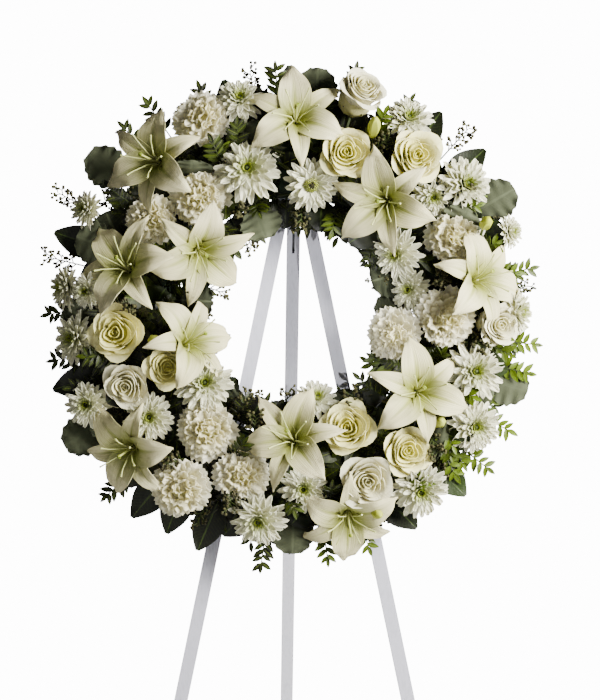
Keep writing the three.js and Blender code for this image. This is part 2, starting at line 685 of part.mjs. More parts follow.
/** A box between two corners. */
function box(low, high) {
  const size = high.clone().sub(low);
  const middle = low.clone().add(high).multiplyScalar(0.5);
  return solid(new THREE.BoxGeometry(size.x, size.y, size.z).translate(middle.x, middle.y, middle.z));
}

/** A pin or bore along x, at a place. */
const crossPin = (from, to, radius, y = 0, z = 0, sides = 10) =>
  solid(rod(vec(from, y, z), vec(to, y, z), radius, sides));

/** A front leg, cut square at its top and level with the floor at its foot. */
function frontLeg(side) {
  const half = LEG_WIDTH / 2 / Math.cos(LEG_SPLAY);
  const corner = (y, s, z) => vec(side * (legX(y) + s * half), y, z);
  const loop = (z) => [
    corner(legTop, -1, z),
    corner(legTop, 1, z),
    corner(floorAt(z), 1, z),
    corner(floorAt(z), -1, z),
  ];
  return prism(loop(LEG_BACK), loop(LEG_FRONT));
}

/** The steel plate behind the front legs' heads, with the hinge tongue and the peg that carries the ring. */
function headPlate() {
  const half = PLATE.width / 2;
  const t = HINGE.tongue / 2;
  const plate = box(vec(-half, PLATE.low, PLATE_BACK), vec(half, PLATE.high, PLATE_FRONT));
  const low = vec(-t, HINGE.y - HINGE.round, HINGE_Z);
  const tongue = box(low, vec(t, HINGE.y + HINGE.round, PLATE_BACK + 1));
  const nose = crossPin(-t, t, HINGE.round, HINGE.y, HINGE_Z, 12);
  const bore = crossPin(-t - 1, t + 1, HINGE.bore, HINGE.y, HINGE_Z);
  const pegY = TRAY_IN - GAP * 1.5 - PEG.radius * Math.cos(Math.PI / 6);
  const peg = solid(rod(vec(0, pegY, PLATE_BACK + 1), vec(0, pegY, PEG.reach), PEG.radius, 6));
  return join([plate, tongue, nose]).subtract(bore).add(peg);
}

/** The back leg in its own frame: y up the leg, the hinge at the origin. Its head stops on the plate. */
function backLeg() {
  const [half, thick] = [LEG_WIDTH / 2, LEG_THICK / 2];
  const above = (HINGE.behind - GAP - thick * Math.cos(BACK_LEG_ANGLE)) / Math.sin(BACK_LEG_ANGLE);
  const slant = BACK_LEG_ANGLE - LEAN; // from upright
  const hingeHeight = CENTRE_HEIGHT + HINGE.y * Math.cos(LEAN) + HINGE_Z * Math.sin(LEAN);
  const foot = (z) => -(hingeHeight - z * Math.sin(slant)) / Math.cos(slant);
  const loop = (z) => [vec(-half, above, z), vec(half, above, z), vec(half, foot(z), z), vec(-half, foot(z), z)];
  const cut = vec(SLOT.width / 2, above + 1, thick + 1);
  const slot = box(vec(-cut.x, -SLOT.through, -cut.z), cut);
  const groove = box(vec(-cut.x, -SLOT.below, SLOT.web - thick), cut);
  const bore = crossPin(-half - 1, half + 1, HINGE.pin + GAP);
  return [slot, groove, bore].reduce((leg, hollow) => leg.subtract(hollow), prism(loop(-thick), loop(thick)));
}

/** The hinge pin: a rivet through the back leg and the tongue. */
function hingePin() {
  const reach = LEG_WIDTH / 2 + GAP;
  const head = 1.6;
  return join([
    crossPin(-reach - head / 2, reach + head / 2, HINGE.pin),
    crossPin(-reach - head, -reach, HINGE.pin + 2),
    crossPin(reach, reach + head, HINGE.pin + 2),
  ]);
}

/** A screw from behind the plate into a front leg, or the hole for it. */
function legScrew(side, spare = 0) {
  const at = (z) => vec(side * legX(SCREW.y), SCREW.y, z);
  const under = PLATE_BACK - GAP;
  const shank = rod(at(under - 1), at(LEG_FRONT - 3 + spare), SCREW.shank + spare, 6);
  return spare ? solid(shank) : join([shank, rod(at(under), at(under - 2), SCREW.head, 6)].map(solid));
}

/** A wire tie round a front leg, with both ends in the tray's back, and the holes for them. */
function tie(side) {
  const middle = vec(side * legX(TIE.y), TIE.y, 0);
  const across = vec(Math.cos(LEG_SPLAY), side * Math.sin(LEG_SPLAY), 0);
  const half = LEG_WIDTH / 2 + GAP + TIE.radius + 0.3;
  const back = LEG_BACK - GAP - TIE.radius;
  const point = (s, z) => middle.clone().addScaledVector(across, s * half).setZ(z);
  const bends = [point(-1, 2), point(-1, back), point(1, back), point(1, 2)];
  const pieces = bends.slice(1).map((p, i) => {
    const over = p.clone().sub(bends[i]).setLength(0.5);
    const from = i === 0 ? bends[i] : bends[i].clone().sub(over);
    const to = i === 2 ? p : p.clone().add(over);
    return solid(rod(from, to, TIE.radius, 5));
  });
  const holes = [-1, 1].map((s) => solid(rod(point(s, -1), point(s, 6), TIE.radius + GAP, 5)));
  return { body: join(pieces), holes };
}

// Materials

const paint = (color, roughness, metalness = 0) => new THREE.MeshStandardMaterial({ color, roughness, metalness });
const MATERIALS = {
  lily: paint("#f3f0e6", 0.55),
  rose: paint("#f2eac6", 0.6),
  carnation: paint("#f1ede0", 0.7),
  chrysanthemum: paint("#f4f3ec", 0.65),
  greens: paint("#33442a", 0.6),
  foam: paint("#3f5a39", 0.95),
  tray: paint("#24402c", 0.5),
  wood: paint("#e2e1e6", 0.45),
  steel: paint("#b9bcc0", 0.35, 0.9),
};

// Assembly

const leaning = new THREE.Group();
const backward = new THREE.Group();
const easel = new THREE.Group();

/** A solid as a named mesh in a group. */
function put(group, name, made, material) {
  const { points, triangles } = meshOf(made);
  const geometry = new THREE.BufferGeometry().setFromPoints(points).setIndex(triangles);
  geometry.computeVertexNormals();
  const mesh = new THREE.Mesh(geometry, material);
  mesh.name = name;
  group.add(mesh);
}

const blooms = [
  ...LILIES.map((one) => {
    const extra = BUDS[one.name] ? bud(BUDS[one.name]) : undefined;
    return { ...bloom(one.name, [one], lilyHead, extra), material: MATERIALS.lily };
  }),
  ...ROSES.map((one) => ({ ...bloom(one.name, [one], roseHead), material: MATERIALS.rose })),
  ...CARNATIONS.map((one) => ({ ...bloom(one.name, [one], carnationHead), material: MATERIALS.carnation })),
  ...MUM_SPRAYS.map(({ name, heads, foot }) => ({
    ...bloom(name, heads, mumHead, undefined, foot),
    material: MATERIALS.chrysanthemum,
  })),
];
const outer = Array.from({ length: OUTER_SHARES }, (_, i) =>
  greenery(`outer_greenery_${i + 1}`, OUTER_GREENS, i, OUTER_SHARES, BRANCH.out, 0),
);
const inner = Array.from({ length: INNER_SHARES }, (_, i) =>
  greenery(`inner_greenery_${i + 1}`, INNER_GREENS, i, INNER_SHARES, BRANCH.in, 0.1),
);
const greens = [...outer, ...inner].map((one) => ({ ...one, material: MATERIALS.greens }));

// A piece gives way to those before it in the list
const cutters = [];
for (const one of [...blooms, ...greens]) {
  const cutter = grown(one.body, CLEAR).add(one.body);
  one.body = clearOf(one.body, cutters);
  cutters.push(cutter);
  put(leaning, one.name, one.body, one.material);
}

const ties = { left: tie(-1), right: tie(1) };
const screwHoles = [-1, 1].map((side) => legScrew(side, GAP));
const holes = [...blooms, ...greens].map(({ hole }) => hole);
const tieHoles = [...ties.left.holes, ...ties.right.holes];
const less = (body, cuts) => cuts.reduce((left, cut) => left.subtract(cut), body);
put(leaning, "foam_ring", less(foamBody(), holes), MATERIALS.foam);
put(leaning, "ring_tray", less(trayBody(), tieHoles), MATERIALS.tray);
put(leaning, "front_leg_left", less(frontLeg(-1), screwHoles), MATERIALS.wood);
put(leaning, "front_leg_right", less(frontLeg(1), screwHoles), MATERIALS.wood);
put(leaning, "head_plate", less(headPlate(), screwHoles), MATERIALS.steel);
put(leaning, "leg_screw_left", legScrew(-1), MATERIALS.steel);
put(leaning, "leg_screw_right", legScrew(1), MATERIALS.steel);
put(leaning, "wire_tie_left", ties.left.body, MATERIALS.steel);
put(leaning, "wire_tie_right", ties.right.body, MATERIALS.steel);
put(backward, "back_leg", backLeg(), MATERIALS.wood);
put(backward, "hinge_pin", hingePin(), MATERIALS.steel);

// The back leg hangs on the hinge, turned away from the front legs
backward.position.set(0, HINGE.y, HINGE_Z);
backward.rotation.x = BACK_LEG_ANGLE;
leaning.add(backward);
leaning.rotation.x = Math.PI / 2 - LEAN;
leaning.position.z = CENTRE_HEIGHT;
easel.add(leaning);

// The origin: on the floor, under the middle of the whole
easel.updateMatrixWorld(true);
const whole = new THREE.Box3().setFromObject(easel, true);
leaning.position.x -= (whole.min.x + whole.max.x) / 2;
leaning.position.y -= (whole.min.y + whole.max.y) / 2;

export default easel;
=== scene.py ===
"""The looks of a standing funeral wreath: white flowers and mixed greenery on a white wooden easel."""

import logging
import math
from collections.abc import Callable
from dataclasses import dataclass, field
from enum import Enum

import bpy
import numpy as np
from mathutils import Matrix, Vector


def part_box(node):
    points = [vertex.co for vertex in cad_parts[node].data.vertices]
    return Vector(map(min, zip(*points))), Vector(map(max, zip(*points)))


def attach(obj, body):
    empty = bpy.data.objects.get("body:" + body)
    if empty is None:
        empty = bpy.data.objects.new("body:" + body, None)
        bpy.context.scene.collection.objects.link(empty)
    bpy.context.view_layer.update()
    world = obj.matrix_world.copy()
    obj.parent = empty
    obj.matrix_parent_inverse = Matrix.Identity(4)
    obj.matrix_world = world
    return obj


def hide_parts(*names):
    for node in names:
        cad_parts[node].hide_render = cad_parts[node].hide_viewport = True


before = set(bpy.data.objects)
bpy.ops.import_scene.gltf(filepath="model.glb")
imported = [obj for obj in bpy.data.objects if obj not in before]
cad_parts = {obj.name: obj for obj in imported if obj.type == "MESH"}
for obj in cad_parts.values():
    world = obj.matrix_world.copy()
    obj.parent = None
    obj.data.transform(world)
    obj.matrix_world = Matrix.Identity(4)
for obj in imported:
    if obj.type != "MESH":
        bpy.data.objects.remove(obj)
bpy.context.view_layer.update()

LOG = logging.getLogger("wreath")
FRONT_BODY = "front_frame"
TURN = 2 * math.pi
UP = Vector((0, 0, 1))

# The wreath's own frame, in mm: x to the right, y up the wreath, z out of its face, the origin in the middle
# of the ring on the back of its tray. It leans back with the front legs.
LEAN = math.radians(10)
TRAY_DEPTH = 14
RING_RADIUS = 191
STEM_REACH = 21
FOAM_TOP = 45
STEM_DEEP = 24
STEM_ENTRY = 7
BRANCH_OUT = 230.8
BRANCH_IN = 151.2
BRANCH_Z = 40
LEAF_FOLD = 0.25  # how far a small leaf's edges rise, as a share of its half width
GOLDEN_ANGLE = 2.399963  # between one floret of an open eye and the next

# The widths that each kind of head is drawn at, and how much fuller than in the CAD model some open
LILY_DRAWN, ROSE_DRAWN, CARNATION_DRAWN, MUM_DRAWN = 124, 66, 68, 72
LILY_FULLER, CARNATION_FULLER, MUM_FULLER = 1.07, 1.08, 1.1

# How far a covering piece casts painted shade on a petal, a leaf or the back leg's slot, in metres
PETAL_SHADE_REACH = 0.014
LEAF_SHADE_REACH = 0.04
SLOT_SHADE_REACH = 0.007

# Light and camera
WARM_WHITE = (1.0, 0.985, 0.9)
SENSOR_MM = 24

Array = np.ndarray
Surface = Callable[[Array, Array], Array]


def leaning_frame() -> Matrix:
    """Finds the wreath's own frame from the tray of the CAD model.

    Returns:
        The matrix from the wreath's frame, in mm, to the row frame, in metres.
    """
    low, high = (Vector(corner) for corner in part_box("ring_tray"))
    turn = Matrix.Rotation(math.pi / 2 - LEAN, 4, "X")
    middle = turn @ Vector((0, 0, TRAY_DEPTH / 2000))
    return Matrix.Translation((low + high) / 2 - middle) @ turn @ Matrix.Scale(0.001, 4)


TO_ROW = leaning_frame()


# Finishes


def linear(colour: str) -> tuple[float, float, float, float]:
    """Turns an sRGB hex colour into linear values.

    Args:
        colour: Six hex digits after a hash.

    Returns:
        Red, green, blue and a full alpha.
    """
    parts = [int(colour[i : i + 2], 16) / 255 for i in (1, 3, 5)]
    red, green, blue = (c / 12.92 if c <= 0.04045 else ((c + 0.055) / 1.055) ** 2.4 for c in parts)
    return red, green, blue, 1.0


def add_node(
    tree: bpy.types.NodeTree, kind: str, values: dict | None = None, **settings: object
) -> bpy.types.Node:
    """Adds a node, with its settings, values and links.

    Args:
        tree: The material's or world's node tree.
        kind: The node's type without the prefix ShaderNode.
        values: Input name or number to a value, or to the socket that feeds it.
        settings: The node's own settings.

    Returns:
        The node.
    """
    made = tree.nodes.new("ShaderNode" + kind)
    for name, value in settings.items():
        setattr(made, name, value)
    for key, value in (values or {}).items():
        if isinstance(value, bpy.types.NodeSocket):
            tree.links.new(value, made.inputs[key])
        else:
            made.inputs[key].default_value = value
    return made


def new_tree(name: str) -> tuple[bpy.types.Material, bpy.types.NodeTree, bpy.types.Node]:
    """Makes an empty material.

    Args:
        name: The material's name.

    Returns:
        The material, its node tree and its output node.
    """
    material = bpy.data.materials.new(name)
    material.use_nodes = True
    material.node_tree.nodes.clear()
    return material, material.node_tree, add_node(material.node_tree, "OutputMaterial")


def mixed(tree: bpy.types.NodeTree, factor: object, first: object, second: object) -> bpy.types.NodeSocket:
    """Mixes two colours.

    Args:
        tree: The node tree.
        factor: The share of the second colour, a number or a socket.
        first: A linear colour or a socket.
        second: A linear colour or a socket.

    Returns:
        The socket of the mixed colour.
    """
    node = add_node(tree, "Mix", {0: factor, 6: first, 7: second}, data_type="RGBA")
    return node.outputs[2]


def ramp(tree: bpy.types.NodeTree, value: object, start: float, end: float) -> bpy.types.NodeSocket:
    """A smooth step from 0 at start to 1 at end.

    Args:
        tree: The node tree.
        value: The socket that is read.
        start: The value that gives 0.
        end: The value that gives 1.

    Returns:
        The socket of the step.
    """
    values = {0: value, 1: start, 2: end}
    return add_node(tree, "MapRange", values, interpolation_type="SMOOTHSTEP").outputs[0]


def maths(
    tree: bpy.types.NodeTree, operation: str, first: object, second: object = 0.0
) -> bpy.types.NodeSocket:
    """One operation on two numbers.

    Args:
        tree: The node tree.
        operation: The operation's name.
        first: A number or a socket.
        second: A number or a socket.

    Returns:
        The socket of the result.
    """
    return add_node(tree, "Math", {0: first, 1: second}, operation=operation).outputs[0]


def painted_crowd_shade(
    tree: bpy.types.NodeTree, colour: object, painted_shade_colour: str, reach: float, most: float
) -> bpy.types.NodeSocket:
    """Darkens a colour with painted shade where other petals or leaves crowd over it.

    Args:
        tree: The node tree.
        colour: The socket of the open colour.
        painted_shade_colour: The hex colour of the painted shade where pieces crowd.
        reach: How far a covering piece counts, in metres.
        most: The greatest share of the painted shade colour.

    Returns:
        The socket of the colour.
    """
    open_share = add_node(tree, "AmbientOcclusion", {"Distance": reach}, samples=4).outputs["AO"]
    return mixed(tree, maths(tree, "MULTIPLY", ramp(tree, open_share, 0.9, 0.15), most), colour, linear(painted_shade_colour))


@dataclass(frozen=True)
class PetalFinish:
    """A petal: it lets some light through, with veins along it, a tint at its base and in the heart, and
    painted shade where other pieces crowd over it.
    """

    name: str
    pale: str
    heart: str
    base: str
    base_end: float
    rib: float = 0.0
    painted_shade_colour: str = "#9C9858"
    painted_shade_most: float = 0.45
    furrow_mm: float = 0.8
    streak: float = 0.08
    rough: float = 0.55
    through: float = 0.22

    def material(self) -> bpy.types.Material:
        """Builds the material.

        Returns:
            The material.
        """
        material, tree, out = new_tree(self.name)
        place = add_node(tree, "SeparateXYZ", {0: add_node(tree, "UVMap", uv_map="sheet").outputs[0]}).outputs
        tone = add_node(tree, "Attribute", attribute_name="tone").outputs["Fac"]
        colour = mixed(tree, tone, linear(self.pale), linear(self.heart))
        colour = mixed(tree, ramp(tree, place[1], self.base_end, 0.02), colour, linear(self.base))
        off_rib = maths(tree, "ABSOLUTE", maths(tree, "SUBTRACT", place[0], 0.5))
        if self.rib:
            short_of_tip = ramp(tree, place[1], 0.95, 0.3)
            near_rib = maths(tree, "MULTIPLY", ramp(tree, off_rib, 0.09, 0.01), short_of_tip)
            colour = mixed(tree, maths(tree, "MULTIPLY", near_rib, self.rib), colour, linear(self.base))
        across = maths(tree, "MULTIPLY", place[0], 26)
        stretched = add_node(tree, "CombineXYZ", {0: across, 1: place[1], 2: tone}).outputs[0]
        veins = add_node(tree, "TexNoise", {"Vector": stretched, "Scale": 1.6, "Detail": 2}).outputs[0]
        values = {"Strength": 0.6, "Distance": self.furrow_mm / 1000, "Height": veins}
        bump = add_node(tree, "Bump", values).outputs[0]
        streaks = maths(tree, "MULTIPLY", ramp(tree, veins, 0.4, 0.7), self.streak)
        colour = mixed(tree, streaks, colour, linear(self.base))
        # Painted shade: the colour darkens toward a darker tint wherever other pieces cover the petal
        colour = painted_crowd_shade(tree, colour, self.painted_shade_colour, PETAL_SHADE_REACH, self.painted_shade_most)
        values = {"Base Color": colour, "Roughness": self.rough, "Normal": bump, "Specular IOR Level": 0.3}
        solid = add_node(tree, "BsdfPrincipled", values)
        through = add_node(tree, "BsdfTranslucent", {"Color": colour, "Normal": bump})
        mix = add_node(tree, "MixShader", {0: self.through, 1: solid.outputs[0], 2: through.outputs[0]})
        tree.links.new(mix.outputs[0], out.inputs[0])
        return material


@dataclass(frozen=True)
class LeafFinish:
    """A leaf: light and dark by its tone, with a rib, side veins and painted shade where other pieces crowd
    over it.
    """

    name: str
    dark: str
    light: str
    rib: str
    rough: float
    felt: float = 0.0
    veins: float = 16.0

    def material(self) -> bpy.types.Material:
        """Builds the material.

        Returns:
            The material.
        """
        material, tree, out = new_tree(self.name)
        place = add_node(tree, "SeparateXYZ", {0: add_node(tree, "UVMap", uv_map="sheet").outputs[0]}).outputs
        tone = add_node(tree, "Attribute", attribute_name="tone").outputs["Fac"]
        object_place = add_node(tree, "TexCoord").outputs["Object"]
        spots = add_node(tree, "TexNoise", {"Vector": object_place, "Scale": 90.0, "Detail": 3}).outputs[0]
        shade = maths(tree, "ADD", tone, maths(tree, "MULTIPLY", maths(tree, "SUBTRACT", spots, 0.5), 0.5))
        colour = mixed(tree, shade, linear(self.dark), linear(self.light))
        off_rib = maths(tree, "ABSOLUTE", maths(tree, "SUBTRACT", place[0], 0.5))
        slanted = maths(tree, "SUBTRACT", place[1], maths(tree, "MULTIPLY", off_rib, 0.35))
        wave = maths(tree, "SINE", maths(tree, "MULTIPLY", slanted, self.veins * TURN))
        side = maths(tree, "MULTIPLY", ramp(tree, wave, 0.8, 1.0), 0.25)
        near_rib = maths(tree, "MAXIMUM", ramp(tree, off_rib, 0.05, 0.015), side)
        colour = mixed(tree, near_rib, colour, linear(self.rib))
        # Painted shade: the leaf darkens toward its dark colour wherever other pieces cover it
        colour = painted_crowd_shade(tree, colour, self.dark, LEAF_SHADE_REACH, 0.8)
        fine = add_node(tree, "TexNoise", {"Vector": object_place, "Scale": 1500.0 if self.felt else 400.0})
        height = maths(tree, "ADD", maths(tree, "MULTIPLY", near_rib, -0.6), fine.outputs[0])
        bump = add_node(tree, "Bump", {"Strength": 0.4, "Distance": 0.0005, "Height": height}).outputs[0]
        values = {"Base Color": colour, "Roughness": self.rough, "Normal": bump, "Specular IOR Level": 0.3}
        values["Sheen Weight"] = self.felt
        solid = add_node(tree, "BsdfPrincipled", values)
        through = add_node(tree, "BsdfTranslucent", {"Color": colour})
        mix = add_node(tree, "MixShader", {0: 0.12, 1: solid.outputs[0], 2: through.outputs[0]})
        tree.links.new(mix.outputs[0], out.inputs[0])
        return material


@dataclass(frozen=True)
class SolidFinish:
    """A made surface: one colour broken by a fine pattern, such as paint over grain, foam or metal, with
    painted shade in a slot where one is given.
    """

    name: str
    colour: str
    worn: str
    rough: float
    metallic: float = 0.0
    grain: tuple[float, float, float] = (1.0, 1.0, 1.0)
    scale_mm: float = 5.0
    bump_mm: float = 0.1
    slot_shade_colour: str = ""

    def material(self) -> bpy.types.Material:
        """Builds the material.

        Returns:
            The material.
        """
        material, tree, out = new_tree(self.name)
        place = add_node(tree, "TexCoord").outputs["Object"]
        stretched = add_node(tree, "Mapping", {"Vector": place, "Scale": self.grain}).outputs[0]
        values = {"Vector": stretched, "Scale": 1000 / self.scale_mm, "Detail": 4}
        pattern = add_node(tree, "TexNoise", values).outputs[0]
        colour = mixed(tree, ramp(tree, pattern, 0.45, 0.75), linear(self.colour), linear(self.worn))
        # Painted shade in a slot, such as the back leg's sawn groove, where its walls hide it from the light
        if self.slot_shade_colour:
            colour = painted_crowd_shade(tree, colour, self.slot_shade_colour, SLOT_SHADE_REACH, 1.0)
        values = {"Strength": 0.5, "Distance": self.bump_mm / 1000, "Height": pattern}
        bump = add_node(tree, "Bump", values).outputs[0]
        values = {"Base Color": colour, "Roughness": self.rough, "Metallic": self.metallic, "Normal": bump}
        solid = add_node(tree, "BsdfPrincipled", values)
        tree.links.new(solid.outputs[0], out.inputs[0])
        return material


# White lily petal: waxy white, yellow-green in the throat and along the rib, with painted shade where other
# pieces cover it
LILY = PetalFinish(
    "lily_petal", "#E8E0B8", "#DAD298", "#828C20", 0.72, rib=0.65, furrow_mm=1.6,
    streak=0.25, rough=0.5, through=0.12,
)
# Cream rose petal: velvety, warm and yellow towards the heart, with yellow painted shade where the petals
# crowd
ROSE = PetalFinish(
    "rose_petal", "#FBF6BE", "#E6E06E", "#CCCA66", 0.35, painted_shade_colour="#D8D070", painted_shade_most=0.35,
    rough=0.6, through=0.2,
)
# Whiter rose petal, with painted shade where the petals crowd
WHITE_ROSE = PetalFinish(
    "white_rose_petal", "#F2EED2", "#E4DFAC", "#D0CC94", 0.4, painted_shade_colour="#C2BA84",
    rough=0.6, through=0.15,
)
# Carnation petal: matt ivory, cream in the heart, and painted shade in cream where the petals crowd
CARNATION = PetalFinish(
    "carnation_petal", "#FDFBF0", "#F8F3D2", "#D4D094", 0.25, painted_shade_colour="#D2CC98",
    painted_shade_most=0.25, rough=0.75, through=0.42,
)
# Chrysanthemum petal: satin white, yellow-green in the heart, with painted shade between the rays
MUM = PetalFinish(
    "chrysanthemum_petal", "#FCFAE6", "#9EAC26", "#A6B060", 0.36, painted_shade_colour="#A8AC6C",
    painted_shade_most=0.3, rough=0.55, through=0.25,
)
# Filaments, styles and closed lily buds: pale yellow-green, with painted shade where other pieces cover them
PALE_GREEN = PetalFinish("pale_green_skin", "#A6AE2C", "#E4E6BA", "#76861E", 0.4, rough=0.5, through=0.1)
# Stems and calyxes: dull dark green
STEM_GREEN = LeafFinish("stem_skin", "#2A3412", "#4E5C26", "#4E5C26", 0.55)
# Lemon leaf: dark, leathery and glossy
DARK_LEAF = LeafFinish("lemon_leaf", "#0E1106", "#26350F", "#3A4A20", 0.4)
# Felted leaf: dull grey-green, with a rib of nearly its own colour
GREY_LEAF = LeafFinish("felted_leaf", "#2A2E20", "#5A604A", "#4E5440", 0.95, felt=0.02, veins=6)
# Small boxwood and huckleberry leaves, dark to bright by their tone
SMALL_LEAF = LeafFinish("small_leaf", "#101206", "#5A7000", "#66780E", 0.45, veins=5)
# Seed heads: grey-green beads
SEED = LeafFinish("seed_skin", "#1E1C0E", "#5A5832", "#5A5832", 0.7)
# Wet floral foam: dark green and porous
FOAM = SolidFinish("floral_foam", "#1E2E1C", "#101A10", 0.95, scale_mm=1.2, bump_mm=0.5)
# Tray: moulded dark green plastic
TRAY = SolidFinish("tray_plastic", "#1C3324", "#254030", 0.45, scale_mm=9, bump_mm=0.03)
# Front legs and head plate: cool white paint over a straight grain
PAINT = SolidFinish(
    "white_paint", "#BCBCCC", "#B0B0C0", 0.42, grain=(1.0, 1.0, 0.06), scale_mm=2.2,
    bump_mm=0.12,
)
# Back leg: the same paint made lighter to offset the wreath's shadow on it, which is painted light, with
# painted shade in its sawn slot
LIGHTENED_BACK_PAINT = SolidFinish(
    "back_leg_paint_painted_light", "#CCCCDA", "#C0C0CE", 0.5, grain=(1, 1, 0.06), scale_mm=2.2,
    slot_shade_colour="#16120E",
)
# Screws, pin and ties: dull zinc
ZINC = SolidFinish("zinc_steel", "#9EA1A4", "#7F8285", 0.38, metallic=0.9, scale_mm=4, bump_mm=0.03)


class Skin(Enum):
    """The finishes that the plants' pieces share."""

    LILY = LILY
    ROSE = ROSE
    WHITE_ROSE = WHITE_ROSE
    CARNATION = CARNATION
    MUM = MUM
    PALE_GREEN = PALE_GREEN
    STEM_GREEN = STEM_GREEN
    DARK_LEAF = DARK_LEAF
    GREY_LEAF = GREY_LEAF
    SMALL_LEAF = SMALL_LEAF
    SEED = SEED


class Paints:
    """Builds each finish once, when it is first asked for."""

    made: dict[str, bpy.types.Material] = {}

    @classmethod
    def of(cls, finish: PetalFinish | LeafFinish | SolidFinish) -> bpy.types.Material:
        """Gives a finish's material.

        Args:
            finish: The finish.

        Returns:
            Its material.
        """
        if finish.name not in cls.made:
            cls.made[finish.name] = finish.material()
        return cls.made[finish.name]


# Shapes. A plant is hundreds of sheets that each bend their own way, which no operator gives: a sheet is
# modelled once from a primitive, and each copy's points are then laid on a curved surface by formula.


@dataclass(frozen=True)
class Shape:
    """A closed shape of four-sided faces, whose points are laid on a surface later."""

    points: Array
    faces: Array
    places: Array


def clear_selection() -> None:
    """Leaves object mode with nothing selected."""
    if bpy.context.object and bpy.context.object.mode != "OBJECT":
        bpy.ops.object.mode_set(mode="OBJECT")
    bpy.ops.object.select_all(action="DESELECT")


def read_shape(source: bpy.types.Object) -> Shape:
    """Reads an object's mesh as a shape and removes the object.

    Args:
        source: An object with four-sided faces only.

    Returns:
        The shape.
    """
    mesh = source.data
    points = np.array([vertex.co for vertex in mesh.vertices])
    faces = np.array([tuple(polygon.vertices) for polygon in mesh.polygons])
    places = points[faces.ravel()][:, :2] * (0.5, 1.0) + (0.5, 0.0)
    bpy.data.objects.remove(source)
    bpy.data.meshes.remove(mesh)
    return Shape(points, faces, places)


def sheet(along: int, across: int) -> Shape:
    """A flat sheet with thickness: x from -1 to 1, y from 0 to 1 and z half up and half down.

    Args:
        along: Faces along y.
        across: Faces along x.

    Returns:
        The shape.
    """
    clear_selection()
    bpy.ops.mesh.primitive_grid_add(x_subdivisions=across, y_subdivisions=along, size=2)
    made = bpy.context.active_object
    bpy.ops.object.mode_set(mode="EDIT")
    bpy.ops.mesh.select_all(action="SELECT")
    bpy.ops.transform.translate(value=(0, 1, 0))
    bpy.ops.transform.resize(value=(1, 0.5, 1), center_override=(0, 0, 0))
    bpy.ops.object.mode_set(mode="OBJECT")
    thick = made.modifiers.new("thickness", "SOLIDIFY")
    thick.thickness = 1
    thick.offset = 0
    bpy.ops.object.modifier_apply(modifier=thick.name)
    return read_shape(made)


def bead() -> Shape:
    """A small ball of four-sided faces, of radius 1.

    Returns:
        The shape.
    """
    clear_selection()
    bpy.ops.mesh.primitive_cube_add(size=2)
    made = bpy.context.active_object
    bpy.ops.object.mode_set(mode="EDIT")
    bpy.ops.mesh.select_all(action="SELECT")
    bpy.ops.mesh.subdivide(number_cuts=1)
    bpy.ops.transform.tosphere(value=1)
    bpy.ops.object.mode_set(mode="OBJECT")
    shape = read_shape(made)
    round_points = shape.points / np.linalg.norm(shape.points, axis=1, keepdims=True)
    return Shape(round_points, shape.faces, shape.places)


TEPAL = sheet(14, 8)
ROSE_PETAL = sheet(8, 8)
FRILL = sheet(4, 10)
RAY = sheet(5, 2)
LEAFLET = sheet(4, 2)
BLADE = sheet(10, 6)
LOBED = sheet(26, 6)
BEAD = bead()


def laid(shape: Shape, surface: Surface, thick: float) -> Array:
    """Lays a sheet's points on a surface.

    Args:
        shape: The sheet.
        surface: Gives points for numbers across, -1 to 1, and along, 0 to 1.
        thick: The sheet's thickness.

    Returns:
        The points.
    """
    u, v, w = shape.points.T
    step = 2e-3
    low, high = np.clip(v - step, 0, 1), np.clip(v + step, 0, 1)
    over = np.cross(surface(u + step, v) - surface(u - step, v), surface(u, high) - surface(u, low))
    over /= np.linalg.norm(over, axis=1, keepdims=True) + 1e-12
    return surface(u, v) + over * (w * thick)[:, None]


def stand(place: Vector, direction: Vector, spin: float = 0.0) -> Matrix:
    """Stands the z axis along a direction, spun about it, at a place.

    Args:
        place: Where the origin goes.
        direction: Where the z axis points.
        spin: The turn about the z axis first, in radians.

    Returns:
        The matrix.
    """
    turn = UP.rotation_difference(direction).to_matrix().to_4x4()
    return Matrix.Translation(place) @ turn @ Matrix.Rotation(spin, 4, "Z")


def turn_of(place: Matrix) -> Matrix:
    """The turn of a place, without its move.

    Args:
        place: The place's matrix.

    Returns:
        The turn's matrix.
    """
    return place.to_quaternion().to_matrix().to_4x4()


def moved(points: Array, place: Matrix) -> Array:
    """Moves points by a matrix.

    Args:
        points: The points.
        place: The matrix.

    Returns:
        The moved points.
    """
    grid = np.array(place)
    return points @ grid[:3, :3].T + grid[:3, 3]


